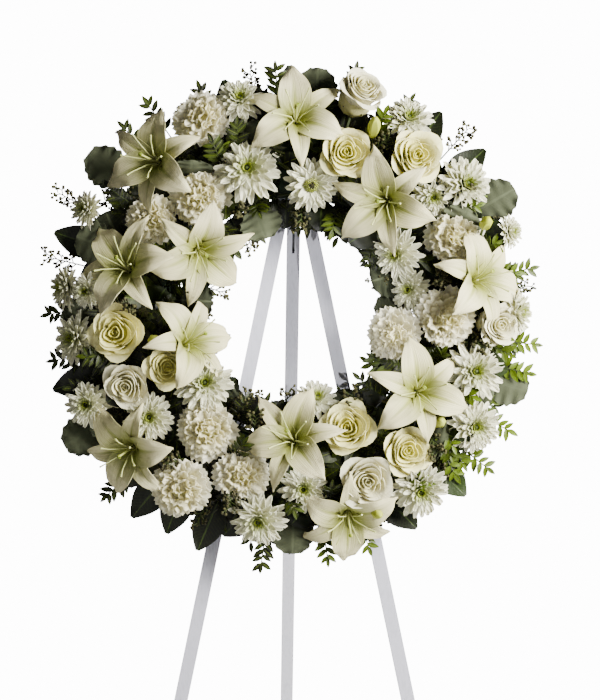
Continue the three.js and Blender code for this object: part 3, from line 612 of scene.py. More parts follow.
@dataclass
class Heap:
    """Shapes that become one object, all given in the wreath's frame."""

    points: list[Array] = field(default_factory=list)
    faces: list[Array] = field(default_factory=list)
    places: list[Array] = field(default_factory=list)
    tones: list[Array] = field(default_factory=list)
    slots: list[Array] = field(default_factory=list)
    skins: list[Skin] = field(default_factory=list)
    count: int = 0

    def add(self, shape: Shape, points: Array, skin: Skin, tone: float = 0.0) -> None:
        """Adds a copy of a shape.

        Args:
            shape: The shape, for its faces.
            points: The copy's points.
            skin: Its finish.
            tone: A number that the finish reads.
        """
        if skin not in self.skins:
            self.skins.append(skin)
        self.points.append(points)
        self.faces.append(shape.faces + self.count)
        self.places.append(shape.places)
        self.tones.append(np.full(len(points), tone))
        self.slots.append(np.full(len(shape.faces), self.skins.index(skin)))
        self.count += len(points)

    def tube(self, path: list[Vector], radii: list[float], skin: Skin, tone: float = 0.3) -> None:
        """Adds a tube of six sides through points.

        Args:
            path: The points.
            radii: The radius at each.
            skin: Its finish.
            tone: A number that the finish reads.
        """
        sides = 6
        ring = [Vector((math.cos(i / sides * TURN), math.sin(i / sides * TURN), 0)) for i in range(sides)]
        points = []
        for i, place in enumerate(path):
            along = path[min(i + 1, len(path) - 1)] - path[max(i - 1, 0)]
            at = stand(place, along)
            points += [at @ (corner * radii[i]) for corner in ring]
        last = (len(path) - 1) * sides
        faces = [(3, 2, 1, 0), (5, 4, 3, 0)]
        faces += [(last, last + 1, last + 2, last + 3), (last, last + 3, last + 4, last + 5)]
        for r in range(len(path) - 1):
            for i in range(sides):
                j = (i + 1) % sides
                faces.append((r * sides + i, r * sides + j, (r + 1) * sides + j, (r + 1) * sides + i))
        flat = Shape(np.array(points), np.array(faces), np.full((len(faces) * 4, 2), 0.4))
        self.add(flat, flat.points, skin, tone)

    def ball(
        self, place: Vector, size: tuple[float, float, float], skin: Skin, tone: float, turn: Matrix
    ) -> None:
        """Adds a ball or an egg.

        Args:
            place: Its middle.
            size: Its three radii.
            skin: Its finish.
            tone: A number that the finish reads.
            turn: Its own turn.
        """
        self.add(BEAD, moved(BEAD.points * size, Matrix.Translation(place) @ turn), skin, tone)

    def build(self, name: str, replaced: list[str], slot: str) -> bpy.types.Object:
        """Makes the object.

        Args:
            name: Its name.
            replaced: The CAD nodes that it stands for.
            slot: The record's material slot; not used.

        Returns:
            The object.
        """
        mesh = bpy.data.meshes.new(name)
        points = moved(np.concatenate(self.points), TO_ROW)
        faces = np.concatenate(self.faces)
        mesh.from_pydata(points.tolist(), [], faces.tolist())
        mesh.uv_layers.new(name="sheet").data.foreach_set("uv", np.concatenate(self.places).ravel())
        mesh.attributes.new("tone", "FLOAT", "POINT").data.foreach_set("value", np.concatenate(self.tones))
        mesh.polygons.foreach_set("material_index", np.concatenate(self.slots))
        for skin in self.skins:
            mesh.materials.append(Paints.of(skin.value))
        made = bpy.data.objects.new(name, mesh)
        bpy.context.collection.objects.link(made)
        clear_selection()
        made.select_set(True)
        bpy.context.view_layer.objects.active = made
        bpy.ops.object.mode_set(mode="EDIT")
        bpy.ops.mesh.select_all(action="SELECT")
        bpy.ops.mesh.remove_doubles(threshold=1e-6)
        bpy.ops.mesh.normals_make_consistent(inside=False)
        bpy.ops.object.mode_set(mode="OBJECT")
        bpy.ops.object.shade_smooth_by_angle(angle=math.radians(50))
        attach(made, FRONT_BODY)
        if replaced:
            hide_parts(*replaced)
        LOG.info("%s: %d faces", name, len(faces))
        return made


# Flower heads. Each stands on the origin, faces +z and is then put in its place.


def polar(radius: Array, angle: Array, height: Array) -> Array:
    """Points from radius, angle and height.

    Args:
        radius: From the z axis.
        angle: About it.
        height: Along it.

    Returns:
        The points.
    """
    return np.stack([radius * np.cos(angle), radius * np.sin(angle), height], axis=1)


def swung(out: Array, side: Array, up: Array, turn: float) -> Array:
    """Points swung about the z axis.

    Args:
        out: Their distances out from the axis.
        side: Their distances to the side.
        up: Their heights.
        turn: The angle about the axis.

    Returns:
        The points.
    """
    x, y = out * math.cos(turn) - side * math.sin(turn), out * math.sin(turn) + side * math.cos(turn)
    return np.stack([x, y, up], axis=1)


def rib_surface(
    length: float, bend: tuple[float, float], foot: tuple[float, float], half: Surface, lift: Surface,
    turn: float,
) -> Surface:
    """A petal along a rib that bends away from the z axis.

    Args:
        length: The rib's length.
        bend: The rib's angles from the z axis at its foot and its tip, in degrees.
        foot: Its foot: distance from the axis and height.
        half: The half width, for numbers across and along.
        lift: The height over the rib, likewise.
        turn: The petal's angle about the axis.

    Returns:
        The surface.
    """
    start, end = (math.radians(angle) for angle in bend)
    spread = length / (end - start)

    def surface(u: Array, v: Array) -> Array:
        angle = start + (end - start) * v
        raised = lift(u, v)
        out = foot[0] + spread * (math.cos(start) - np.cos(angle)) - np.cos(angle) * raised
        up = foot[1] + spread * (np.sin(angle) - math.sin(start)) + np.sin(angle) * raised
        side = u * half(u, v)
        return swung(out, side, up, turn)

    return surface


def lily_head(heap: Heap, place: Matrix, width: float, rng: np.random.Generator) -> None:
    """A lily: three wide tepals over three narrow ones, filaments and a style.

    Args:
        heap: Takes the shapes.
        place: Where the head stands.
        width: Across the open bloom.
        rng: The seeded draws.
    """
    k = width / LILY_DRAWN
    for i in range(6):
        inner = i % 2 == 0
        half = (18.5 if inner else 11.5) * k
        wave, phase = rng.uniform(1.0, 2.0) * (1.6 if inner else 0.8), rng.uniform(0, TURN, 2)
        twist = rng.uniform(-3.0, 3.0)

        def wide(u: Array, v: Array, half: float = half) -> Array:
            return half * (0.03 + np.sin(math.pi * np.clip(0.08 + 0.92 * v, 0, 1) ** 0.9) ** 1.05)

        def lift(u: Array, v: Array, wave: float = wave, phase: Array = phase, twist: float = twist) -> Array:
            edge = np.abs(u) ** 2.2
            ruffle = np.where(u > 0, np.sin(v * 17 + phase[0]), np.sin(v * 17 + phase[1]))
            furrow = np.exp(-((u / 0.2) ** 2)) * (1.1 - v)
            cup = (8.5 * (1 - v) - 3.5 * v) * np.abs(u) ** 1.6 * k
            return cup - 2.0 * furrow + wave * edge * ruffle * v + twist * u * v

        bend = (rng.uniform(17, 22), rng.uniform(122, 152))
        foot = (4.5, 4.0 if inner else 2.0)
        length = 72 * k * rng.uniform(0.96, 1.03)
        surface = rib_surface(length, bend, foot, wide, lift, i * TURN / 6)
        heap.add(TEPAL, moved(laid(TEPAL, surface, 0.8), place), Skin.LILY, rng.uniform(0, 0.4))
    funnel = [(2.6, -9), (4.4, -3), (5.4, 5)]
    heap.tube([place @ Vector((0, 0, h)) for _, h in funnel], [r for r, _ in funnel], Skin.STEM_GREEN, 0.7)
    for i in range(6):
        angle = i * TURN / 6 + math.pi / 6 + rng.uniform(-0.2, 0.2)
        out, reach = Vector((math.cos(angle), math.sin(angle), 0)), rng.uniform(22, 31) * k
        path = [out * 3 + UP * 8, out * 7 + UP * 22 * k]
        path += [out * reach * 0.72 + UP * 37 * k, out * reach + UP * 43 * k]
        heap.tube([place @ p for p in path], [1.0, 0.8, 0.65, 1.2], Skin.PALE_GREEN, 0.45)
    path = [Vector((0, 0, 5)), Vector((1, 0.5, 22 * k)), Vector((3, 1, 36 * k)), Vector((4.5, 1, 45 * k))]
    heap.tube([place @ p for p in path], [1.6, 1.3, 1.1, 1.4], Skin.PALE_GREEN, 0.3)
    heap.ball(place @ path[3], (2.9, 2.9, 1.9), Skin.PALE_GREEN, 0.1, turn_of(place))


def rose_head(heap: Heap, place: Matrix, width: float, rng: np.random.Generator, skin: Skin) -> None:
    """A rose: whorl on whorl of cupped petals, rolled back at their rims.

    Args:
        heap: Takes the shapes.
        place: Where the head stands.
        width: Across the bloom.
        rng: The seeded draws.
        skin: Its finish.
    """
    k = width / ROSE_DRAWN
    # Petals of each whorl, their radius, height, half span in degrees, roll of the rim and tone
    whorls = [
        (2, 2.6, 37, 120, 0.0, 1.0),
        (3, 5.5, 39, 85, 0.5, 0.9),
        (3, 9.5, 40, 70, 1.8, 0.7),
        (3, 13.5, 39.5, 68, 3.2, 0.45),
        (3, 17.5, 39.5, 66, 3.8, 0.25),
        (4, 21.5, 38, 58, 5.0, 0.1),
        (4, 25.5, 34, 56, 6.5, 0.0),
    ]
    start = rng.uniform(0, TURN)
    for w, (count, radius, height, span, roll, tone) in enumerate(whorls):
        for i in range(count):
            middle = start + w * 2.4 + i * TURN / count + rng.uniform(-0.1, 0.1)
            r, h = radius * k * rng.uniform(0.96, 1.04), height * k * rng.uniform(0.96, 1.03)
            curl, tip = roll * k * rng.uniform(0.8, 1.25), rng.uniform(0.5, 1.5) * k
            phase = rng.uniform(0, TURN)

            def surface(
                u: Array, v: Array, middle: float = middle, r: float = r, h: float = h, curl: float = curl,
                tip: float = tip, phase: float = phase, span: float = span, w: int = w,
            ) -> Array:
                shown = v * (1 - 0.16 * np.abs(u) ** 3)
                rim = np.clip((shown - 0.72) / 0.28, 0, 1) ** 2
                bulge = np.sin(math.pi / 2 * np.clip(shown, 0, 1) ** 0.75)
                out = r * (0.2 + 0.8 * bulge) * (1 + 0.07 * u) + curl * rim * (1 + 0.35 * np.cos(u * math.pi))
                out = out + tip * rim * np.exp(-((u / 0.3) ** 2)) + 0.5 * np.sin(u * 5 + phase) * rim
                up = h * shown**1.15 - curl * 0.75 * rim**2
                angle = middle + np.radians(span) * u * (0.55 + 0.45 * np.clip(shown * 1.6, 0, 1))
                return polar(out, angle, up)

            points = moved(laid(ROSE_PETAL, surface, 0.8), place)
            heap.add(ROSE_PETAL, points, skin, tone + rng.uniform(-0.05, 0.05))
    heap.ball(place @ Vector((0, 0, 5 * k)), (25 * k, 25 * k, 24 * k), skin, 0.8, turn_of(place))
    calyx(heap, place, 7 * k, 5, 20 * k, rng)


def calyx(
    heap: Heap, place: Matrix, radius: float, count: int, length: float, rng: np.random.Generator
) -> None:
    """The green cup under a bloom, with its pointed sepals.

    Args:
        heap: Takes the shapes.
        place: Where the head stands.
        radius: Of the cup.
        count: Of the sepals.
        length: Of the sepals.
        rng: The seeded draws.
    """
    heap.ball(place @ Vector((0, 0, -1)), (radius, radius, 5), Skin.STEM_GREEN, 0.4, turn_of(place))
    for i in range(count):
        surface = rib_surface(
            length,
            (60, rng.uniform(80, 110)),
            (radius * 0.6, -3),
            lambda u, v: 3.4 * np.sin(math.pi * (0.15 + 0.83 * v)) + 0.2,
            lambda u, v: 1.2 * u**2,
            i * TURN / count,
        )
        heap.add(LEAFLET, moved(laid(LEAFLET, surface, 0.6), place), Skin.STEM_GREEN, 0.4)


def carnation_head(heap: Heap, place: Matrix, width: float, rng: np.random.Generator) -> None:
    """A carnation: a dome of crowded fan-shaped petals with toothed, ruffled rims.

    Args:
        heap: Takes the shapes.
        place: Where the head stands.
        width: Across the bloom.
        rng: The seeded draws.
    """
    k = width / CARNATION_DRAWN
    # Petals of each whorl, their lean from the axis in degrees, their half width and tone
    whorls = [
        (5, 9, 10, 0.9),
        (6, 22, 12, 0.8),
        (8, 36, 13, 0.6),
        (9, 50, 14, 0.4),
        (10, 65, 15, 0.2),
        (11, 84, 15.5, 0.0),
    ]
    for w, (count, lean, half, tone) in enumerate(whorls):
        for i in range(count):
            turn = i * TURN / count + w * 1.3 + rng.uniform(-0.2, 0.2)
            tilt = math.radians(lean + rng.uniform(-8, 8))
            reach = Vector((34 * math.sin(tilt), 0, 7 + 26 * math.cos(tilt))) * k * rng.uniform(0.84, 1.1)
            phase, fold = rng.uniform(0, TURN), rng.uniform(1.8, 3.6) * k
            wide = half * k * rng.uniform(0.9, 1.15)
            waves, curve = rng.uniform(5.0, 8.0), rng.uniform(-3, 4) * k
            foot = Vector((2, 0, 3))
            over = Vector((-math.cos(tilt), 0, math.sin(tilt)))

            def surface(
                u: Array, v: Array, turn: float = turn, reach: Vector = reach, phase: float = phase,
                fold: float = fold, wide: float = wide, waves: float = waves, curve: float = curve,
                foot: Vector = foot, over: Vector = over,
            ) -> Array:
                teeth = 0.05 * np.sign(np.sin(u * 15.7 + 1.2)) * np.clip((v - 0.8) / 0.2, 0, 1)
                run = v * (1 - 0.16 * u**2) + teeth
                ruffle = fold * v**2 * np.sin(u * waves + phase) + 0.25 * fold * v**3 * np.sin(u * 15.7)
                bow = curve * np.sin(math.pi * v) + ruffle
                out = foot.x + (reach.x - foot.x) * run + over.x * bow
                up = foot.z + (reach.z - foot.z) * run**0.9 + over.z * bow
                side = u * wide * (0.12 + 0.88 * v**1.2)
                return swung(out, side, up, turn)

            points = moved(laid(FRILL, surface, 0.7), place)
            heap.add(FRILL, points, Skin.CARNATION, tone + rng.uniform(-0.05, 0.1))
    heap.ball(place @ Vector((0, 0, 13 * k)), (16 * k, 16 * k, 15 * k), Skin.CARNATION, 0.9, turn_of(place))
    cup = [(2.7, -9), (6.0, -6), (8.0, 0), (9.5, 6)]
    heap.tube([place @ Vector((0, 0, h)) for _, h in cup], [r * k for r, _ in cup], Skin.STEM_GREEN, 0.5)


def mum_head(heap: Heap, place: Matrix, width: float, rng: np.random.Generator, eye: float = 0.0) -> None:
    """A chrysanthemum: rays in seven whorls round a green heart, or in fewer round an open eye.

    Args:
        heap: Takes the shapes.
        place: Where the head stands.
        width: Across the bloom.
        rng: The seeded draws.
        eye: The radius of the open eye, or 0 where the rays close over it.
    """
    k = width / MUM_DRAWN
    # Rays of each whorl, their reach, tip height, foot height, half width and tone
    whorls = [
        (13, 36, 4.0, 3, 4.5, 0.0),
        (13, 34, 11.0, 4, 4.4, 0.0),
        (12, 29, 17.5, 6, 4.1, 0.02),
        (11, 22, 21.5, 8, 3.5, 0.08),
        (10, 15, 23.5, 10, 2.8, 0.3),
        (9, 9, 22.5, 11, 2.1, 0.7),
        (7, 4.5, 20.0, 12, 1.7, 1.0),
    ]
    for w, (count, reach, high, low, half, tone) in enumerate(whorls[:4] if eye else whorls):
        for i in range(count):
            turn = (i + 0.5 * (w % 2)) * TURN / count + rng.uniform(-0.1, 0.1)
            tip, up = reach * k * rng.uniform(0.86, 1.05), (high + rng.uniform(-2.5, 2.5)) * k
            wide, bow, side_swing = half * k, rng.uniform(2.0, 4.5) * k, rng.uniform(-1.2, 1.2) * k

            def surface(
                u: Array, v: Array, turn: float = turn, tip: float = tip, up: float = up, wide: float = wide,
                bow: float = bow, side_swing: float = side_swing, low: float = low,
            ) -> Array:
                out = 2.5 + (tip - 2.5) * v * (1 - 0.07 * u**2)
                arch = bow * np.sin(math.pi * v) * 0.6
                height = low * k + (up - low * k) * v**1.4 + arch + 2.2 * k * u**2 * v
                side = u * wide * (0.24 + 0.76 * np.sin(math.pi * (0.06 + 0.86 * v))) + side_swing * v**2
                return swung(out, side, height, turn)

            points = moved(laid(RAY, surface, 0.65), place)
            heap.add(RAY, points, Skin.MUM, max(0.0, tone + rng.uniform(-0.03, 0.06)))
    turn = turn_of(place)
    heap.ball(place @ Vector((0, 0, 15 * k)), (3.4 * k, 3.4 * k, 4.5 * k), Skin.STEM_GREEN, 0.7, turn)
    florets = 60 if eye else 0
    for i in range(florets):
        r, angle = eye * math.sqrt((i + 0.5) / florets), i * GOLDEN_ANGLE
        at = Vector((r * math.cos(angle), r * math.sin(angle), 15 * k + 5 * (1 - (r / eye) ** 2)))
        skin = Skin.SEED if r < 0.45 * eye else Skin.PALE_GREEN
        heap.ball(place @ at, (1.1, 1.1, 2.2), skin, rng.uniform(0.0, 0.6), turn)
    heap.ball(place @ Vector((0, 0, 0)), (9 * k, 9 * k, 4.5 * k), Skin.STEM_GREEN, 0.5, turn)


def lily_bud(heap: Heap, foot: Vector, direction: Vector, length: float, rng: np.random.Generator) -> None:
    """A closed lily bud.

    Args:
        heap: Takes the shapes.
        foot: Its foot.
        direction: Where it points.
        length: Its length.
        rng: The seeded draws.
    """
    # Share of the length and radius there
    profile = [(0, 2), (0.08, 4.6), (0.25, 6.4), (0.5, 8), (0.72, 7.4), (0.88, 5.2), (0.97, 2.6), (1, 0.8)]
    path = [foot + direction * (length * t) for t, _ in profile]
    heap.tube(path, [r for _, r in profile], Skin.PALE_GREEN, rng.uniform(0.0, 0.15))


# Where the flowers stand, nearly all as in the CAD model: foot, sideways part of the facing, size and spin


@dataclass(frozen=True)
class Head:
    """One bloom's place in the wreath's frame."""

    at: tuple[float, float, float]
    face: tuple[float, float]
    size: float
    spin: float = 0.0
    way: tuple[float, float, float] | None = None
    eye: float = 0.0

    @property
    def facing(self) -> Vector:
        """The direction that the head faces."""
        x, y = self.face
        return Vector((x, y, math.sqrt(1 - x * x - y * y)))

    @property
    def place(self) -> Matrix:
        """The matrix that puts the head in its place."""
        return stand(Vector(self.at), self.facing, math.radians(self.spin))


LILIES = {
    "lily_upper_left": Head((-163, 187, 66), (-0.49, 0.04), 126, 84),
    "lily_top": Head((-2, 235, 66), (0.07, 0.28), 124, 95),
    "lily_left": Head((-199, 54, 74), (-0.42, 0.3), 126, 6),
    "lily_inner_left": Head((-121, 84, 70), (0.25, -0.33), 126, 79),
    "lily_inner_low_left": Head((-139, -35, 64), (0.56, 0.3), 120, 10),
    "lily_lower_left": Head((-193, -155, 66), (-0.5, -0.28), 120, 8),
    "lily_bottom": Head((-1, -151, 74), (-0.28, 0.24), 122, 69),
    "lily_low_right": Head((62, -233, 50), (0.04, -0.55), 122, 270),
    "lily_right_inner": Head((144, -90, 76), (0.17, 0.03), 124, 101),
    "lily_right": Head((211, 43, 68), (0.52, 0.16), 122, 105),
    "lily_upper_right": Head((111, 142, 70), (-0.3, -0.18), 124, 100),
}
ROSES = {
    "rose_top": Head((70, 262, 56), (0.4, 0.56), 60),
    "rose_upper_right_1": Head((58, 195, 60), (0.04, 0.1), 66),
    "rose_upper_right_2": Head((139, 192, 60), (0.18, 0.1), 66),
    "rose_left_1": Head((-211, -20, 58), (-0.2, 0.03), 68),
    "rose_left_2": Head((-158, -57, 67), (0.1, -0.1), 54),
    "rose_left_3": Head((-202, -78, 58), (-0.15, -0.2), 58),
    "rose_bottom_1": Head((66, -138, 60), (-0.18, 0.16), 68),
    "rose_bottom_2": Head((82, -195, 60), (0.08, -0.1), 66),
    "rose_bottom_3": Head((128, -163, 58), (0.2, 0.06), 62),
    "rose_right": Head((236, -8, 56), (0.4, -0.05), 54),
}
WHITE_ROSES = ("rose_top", "rose_left_3", "rose_bottom_2", "rose_right")
CARNATIONS = {
    "carnation_top": Head((-113, 235, 58), (-0.15, 0.3), 64),
    "carnation_upper_left_1": Head((-116, 144, 60), (-0.05, 0.02), 66),
    "carnation_upper_left_2": Head((-172, 118, 56), (-0.2, -0.05), 60),
    "carnation_upper_right": Head((191, 95, 58), (0.1, 0.1), 68),
    "carnation_right": Head((181, 0, 60), (0.05, 0.02), 70),
    "carnation_inner_right": Head((122, -20, 58), (-0.35, -0.05), 60),
    "carnation_low_left_1": Head((-108, -136, 60), (0.02, -0.03), 68),
    "carnation_low_left_2": Head((-138, -203, 58), (-0.1, -0.3), 66),
    "carnation_bottom": Head((-66, -190, 58), (0.04, -0.08), 62),
}
# Each spray's stem foot, then its heads
MUM_SPRAYS = {
    "chrysanthemum_spray_top": (
        (-24, 190),
        Head((-60, 178, 66), (0, 0.08), 82),
        Head((17, 163, 64), (0.05, -0.25), 66, eye=8.5),
        Head((-68, 258, 62), (-0.05, 0.5), 60),
    ),
    "chrysanthemum_spray_upper_right": (
        (167, 181),
        Head((200, 160, 60), (0.4, 0.15), 70),
        Head((166, 148, 62), (0.02, -0.25), 52),
        Head((134, 236, 60), (0.15, 0.45), 62, way=(178, 218, 50)),
    ),
    "chrysanthemum_spray_right": (
        (191, -134),
        Head((213, -66, 64), (0.2, 0.02), 74),
        Head((213, -131, 62), (0.25, -0.12), 66),
        Head((148, -206, 62), (0.12, -0.3), 70),
    ),
    "chrysanthemum_spray_bottom": (
        (-5, -183),
        Head((8, -206, 64), (0, -0.12), 58),
        Head((-46, -240, 61), (-0.05, -0.4), 70),
        Head((24, -104, 58), (0.1, 0.6), 54, way=(34, -160, 50)),
    ),
    "chrysanthemum_spray_low_left": (
        (-146, -101),
        Head((-178, -120, 66), (0, -0.05), 60),
        Head((-113, -82, 66), (0.12, 0.2), 70),
    ),
    "chrysanthemum_spray_left": (
        (-256, -65),
        Head((-250, -104, 60), (-0.3, -0.1), 56),
        Head((-262, -26, 54), (-0.65, 0.02), 64),
    ),
    "chrysanthemum_spray_upper_left": (
        (-258, 66),
        Head((-273, 36, 54), (-0.85, 0), 54),
        Head((-250, 32, 74), (-0.4, -0.1), 42),
        Head((-250, 130, 54), (-0.7, 0.15), 46),
    ),
    "chrysanthemum_spray_inner_right": (
        (132, 56),
        Head((124, 78, 58), (-0.35, -0.15), 64),
        Head((141, 34, 58), (-0.45, -0.05), 52),
    ),
    "chrysanthemum_spray_far_right": (
        (200, 68),
        Head((256, 104, 54), (0.8, 0.1), 42),
        Head((262, 6, 54), (0.85, 0.02), 58),
    ),
}
# Buds on the stem of the lily that they are named after
BUDS = {
    "lily_upper_right": Head((92, 218, 72), (0.02, 0.45), 44),
    "lily_right": Head((225, 108, 84), (0.1, 0.3), 30),
    "lily_right_inner": Head((170, -128, 66), (0.1, 0.1), 34),
    "lily_low_right": Head((88, -226, 60), (0.35, -0.4), 36),
    "lily_inner_low_left": Head((-170, -30, 70), (-0.1, 0.1), 28),
}


def stem_entry(x: float, y: float) -> Vector:
    """Where a stem that serves a place over the ring goes into the foam.

    Args:
        x: The place across.
        y: The place up the wreath.

    Returns:
        The point, just over the foam.
    """
    far = math.hypot(x, y)
    r = min(max(far, RING_RADIUS - STEM_REACH), RING_RADIUS + STEM_REACH)
    return Vector((x * r / far, y * r / far, FOAM_TOP + STEM_ENTRY))


def grow_stem(heap: Heap, entry: Vector, tops: list[tuple[Vector, Vector | None]]) -> None:
    """A stem in the foam and its branches to the heads.

    Args:
        heap: Takes the shapes.
        entry: Where it goes into the foam.
        tops: Each branch's end, and a point that it goes by.
    """
    end = entry.copy()
    end.z = FOAM_TOP - STEM_DEEP
    heap.tube([end, entry], [2.2, 2.4], Skin.STEM_GREEN)
    for top, way in tops:
        path = [entry - UP * 2, way, top] if way else [entry - UP * 2, top]
        heap.tube(path, [2.2, 2.0, 1.8][: len(path)], Skin.STEM_GREEN)


@dataclass
class Blooms:
    """All the flowers, each on its own stem or spray."""

    seed: int = 7

    def build(self) -> None:
        """Builds one object for each CAD node of flowers."""
        rng = np.random.default_rng(self.seed)
        for name, head in LILIES.items():
            heap = Heap()
            lily_head(heap, head.place, head.size * LILY_FULLER, rng)
            entry = stem_entry(*head.at[:2])
            grow_stem(heap, entry, [(Vector(head.at) - head.facing * 6, None)])
            if name in BUDS:
                bud = BUDS[name]
                foot = Vector(bud.at)
                lily_bud(heap, foot, bud.facing, bud.size, rng)
                heap.tube([entry, foot], [2.0, 1.8], Skin.STEM_GREEN)
            heap.build(name + "_bloom", [name], "lily_petals")
        for name, head in ROSES.items():
            heap = Heap()
            rose_head(heap, head.place, head.size, rng, Skin.WHITE_ROSE if name in WHITE_ROSES else Skin.ROSE)
            grow_stem(heap, stem_entry(*head.at[:2]), [(Vector(head.at), None)])
            heap.build(name + "_bloom", [name], "rose_petals")
        for name, head in CARNATIONS.items():
            heap = Heap()
            carnation_head(heap, head.place, head.size * CARNATION_FULLER, rng)
            grow_stem(heap, stem_entry(*head.at[:2]), [(Vector(head.at) - head.facing * 6, None)])
            heap.build(name + "_bloom", [name], "carnation_petals")
        for name, (foot, *heads) in MUM_SPRAYS.items():
            heap = Heap()
            for head in heads:
                mum_head(heap, head.place, head.size * MUM_FULLER, rng, head.eye)
            tops = [(Vector(head.at), Vector(head.way) if head.way else None) for head in heads]
            grow_stem(heap, stem_entry(*foot), tops)
            heap.build(name + "_bloom", [name], "chrysanthemum_petals")


# Greenery


class Kind(Enum):
    """The kinds of leaf and sprig, each with the length of its leafy part."""

    LEMON = 66
    SILVER = 58
    SPRIG = 50
    FERN = 56
    SEEDS = 40


@dataclass(frozen=True)
class Green:
    """One leaf or sprig: its kind, its tip and how bright it is."""

    kind: Kind
    tip: tuple[float, float, float]
    tone: float = 0.05


# The higher tones of the leaves on the right side paint them lighter: painted light where the light falls
# more strongly
OUTER_GREENS = [
    Green(Kind.SILVER, (28, 306, 36), 0.4),
    Green(Kind.LEMON, (-8, 308, 44)),
    Green(Kind.SPRIG, (-26, 312, 58)),
    Green(Kind.SEEDS, (-56, 300, 44)),
    Green(Kind.LEMON, (-88, 290, 44)),
    Green(Kind.SPRIG, (-120, 286, 48)),
    Green(Kind.SPRIG, (-186, 268, 46)),
    Green(Kind.SPRIG, (-216, 238, 50)),
    Green(Kind.SILVER, (-252, 200, 46), 0.6),
    Green(Kind.SEEDS, (-290, 152, 44)),
    Green(Kind.LEMON, (-294, 104, 42)),
    Green(Kind.SEEDS, (-304, 74, 46)),
    Green(Kind.SPRIG, (-310, 2, 36)),
    Green(Kind.SPRIG, (-304, -54, 44)),
    Green(Kind.LEMON, (-296, -88, 42)),
    Green(Kind.SILVER, (-282, -156, 42), 0.6),
    Green(Kind.SPRIG, (-238, -224, 46)),
    Green(Kind.LEMON, (-200, -244, 38)),
    Green(Kind.LEMON, (-120, -284, 44)),
    Green(Kind.LEMON, (-158, -264, 36)),
    Green(Kind.SPRIG, (-44, -312, 48)),
    Green(Kind.SILVER, (-4, -288, 48), 0.4),
    Green(Kind.SPRIG, (40, -304, 44), 0.4),
    Green(Kind.SPRIG, (92, -290, 44), 0.5),
    Green(Kind.LEMON, (148, -258, 42)),
    Green(Kind.LEMON, (208, -218, 44), 0.8),
    Green(Kind.SPRIG, (242, -190, 46), 0.6),
    Green(Kind.SPRIG, (268, -142, 46), 0.8),
    Green(Kind.SILVER, (284, -90, 44), 0.5),
    Green(Kind.SPRIG, (302, -34, 44), 0.9),
    Green(Kind.SPRIG, (296, 62, 46), 0.4),
    Green(Kind.SILVER, (268, 158, 44), 0.3),
    Green(Kind.LEMON, (232, 206, 42), 0.1),
    Green(Kind.SEEDS, (212, 232, 46)),
    Green(Kind.LEMON, (178, 252, 42)),
    Green(Kind.SPRIG, (146, 274, 46)),
    Green(Kind.SPRIG, (76, 314, 44)),
]
INNER_GREENS = [
    Green(Kind.SILVER, (-36, 96, 54), 0.95),
    Green(Kind.SPRIG, (14, 104, 50)),
    Green(Kind.SPRIG, (48, 92, 46)),
    Green(Kind.SPRIG, (82, 70, 44), 0.4),
    Green(Kind.SILVER, (98, 2, 44), 0.6),
    Green(Kind.SPRIG, (82, -50, 46), 0.4),
    Green(Kind.SPRIG, (52, -88, 50)),
    Green(Kind.SEEDS, (-10, -92, 50)),
    Green(Kind.SEEDS, (-50, -96, 50)),
    Green(Kind.LEMON, (-72, -74, 46)),
    Green(Kind.SPRIG, (-84, -22, 46)),
    Green(Kind.SEEDS, (-88, 30, 46)),
    Green(Kind.FERN, (-66, 84, 46), 0.1),
]
OUTER_SHARES = 6
INNER_SHARES = 4
# Sprigs that stand up among the blooms
AMONG_BLOOMS = [
    Green(Kind.FERN, (-150, 24, 84), 0.2),
    Green(Kind.SPRIG, (-130, 40, 80), 0.1),
    Green(Kind.SPRIG, (-46, 128, 66), 0.2),
    Green(Kind.LEMON, (-158, 34, 70), 0.3),
    Green(Kind.SPRIG, (-104, 214, 90), 0.1),
    Green(Kind.LEMON, (-28, 146, 46), 0.2),
    Green(Kind.SPRIG, (-72, 236, 92), 0.1),
    Green(Kind.SPRIG, (108, 250, 82), 0.5),
    Green(Kind.FERN, (-178, 14, 90), 0.1),
    Green(Kind.SPRIG, (-62, -148, 90), 0.1),
    Green(Kind.SEEDS, (172, 46, 90), 0.3),
    Green(Kind.SEEDS, (112, -96, 84), 0.3),
    Green(Kind.SPRIG, (42, -204, 88), 0.1),
    Green(Kind.SEEDS, (-158, -176, 88), 0.3),
    Green(Kind.SPRIG, (248, 92, 66), 0.6),
    Green(Kind.SILVER, (-42, 236, 88), 0.7),
    Green(Kind.SILVER, (-126, 188, 88), 0.6),
    Green(Kind.SPRIG, (-23, 206, 92), 0.1),
    Green(Kind.SEEDS, (-68, 128, 88), 0.3),
    Green(Kind.SEEDS, (-203, 12, 90), 0.3),
    Green(Kind.FERN, (-152, -10, 90), 0.1),
    Green(Kind.SEEDS, (-158, -164, 90), 0.3),
    Green(Kind.SEEDS, (-49, -118, 84), 0.3),
    Green(Kind.SPRIG, (42, 100, 74), 0.3),
    Green(Kind.SPRIG, (84, -42, 50), 0.4),
    Green(Kind.SEEDS, (66, -92, 84), 0.3),
    Green(Kind.FERN, (-238, 164, 60), 0.1),
    Green(Kind.SILVER, (-266, 98, 56), 0.5),
    Green(Kind.SPRIG, (292, -70, 48), 0.9),
    Green(Kind.LEMON, (-216, -206, 60), 0.1),
    Green(Kind.LEMON, (224, 132, 66), 0.1),
    Green(Kind.SPRIG, (-92, 208, 84), 0.2),
    Green(Kind.SPRIG, (108, -134, 84), 0.3),
    Green(Kind.SPRIG, (176, -42, 86), 0.3),
]


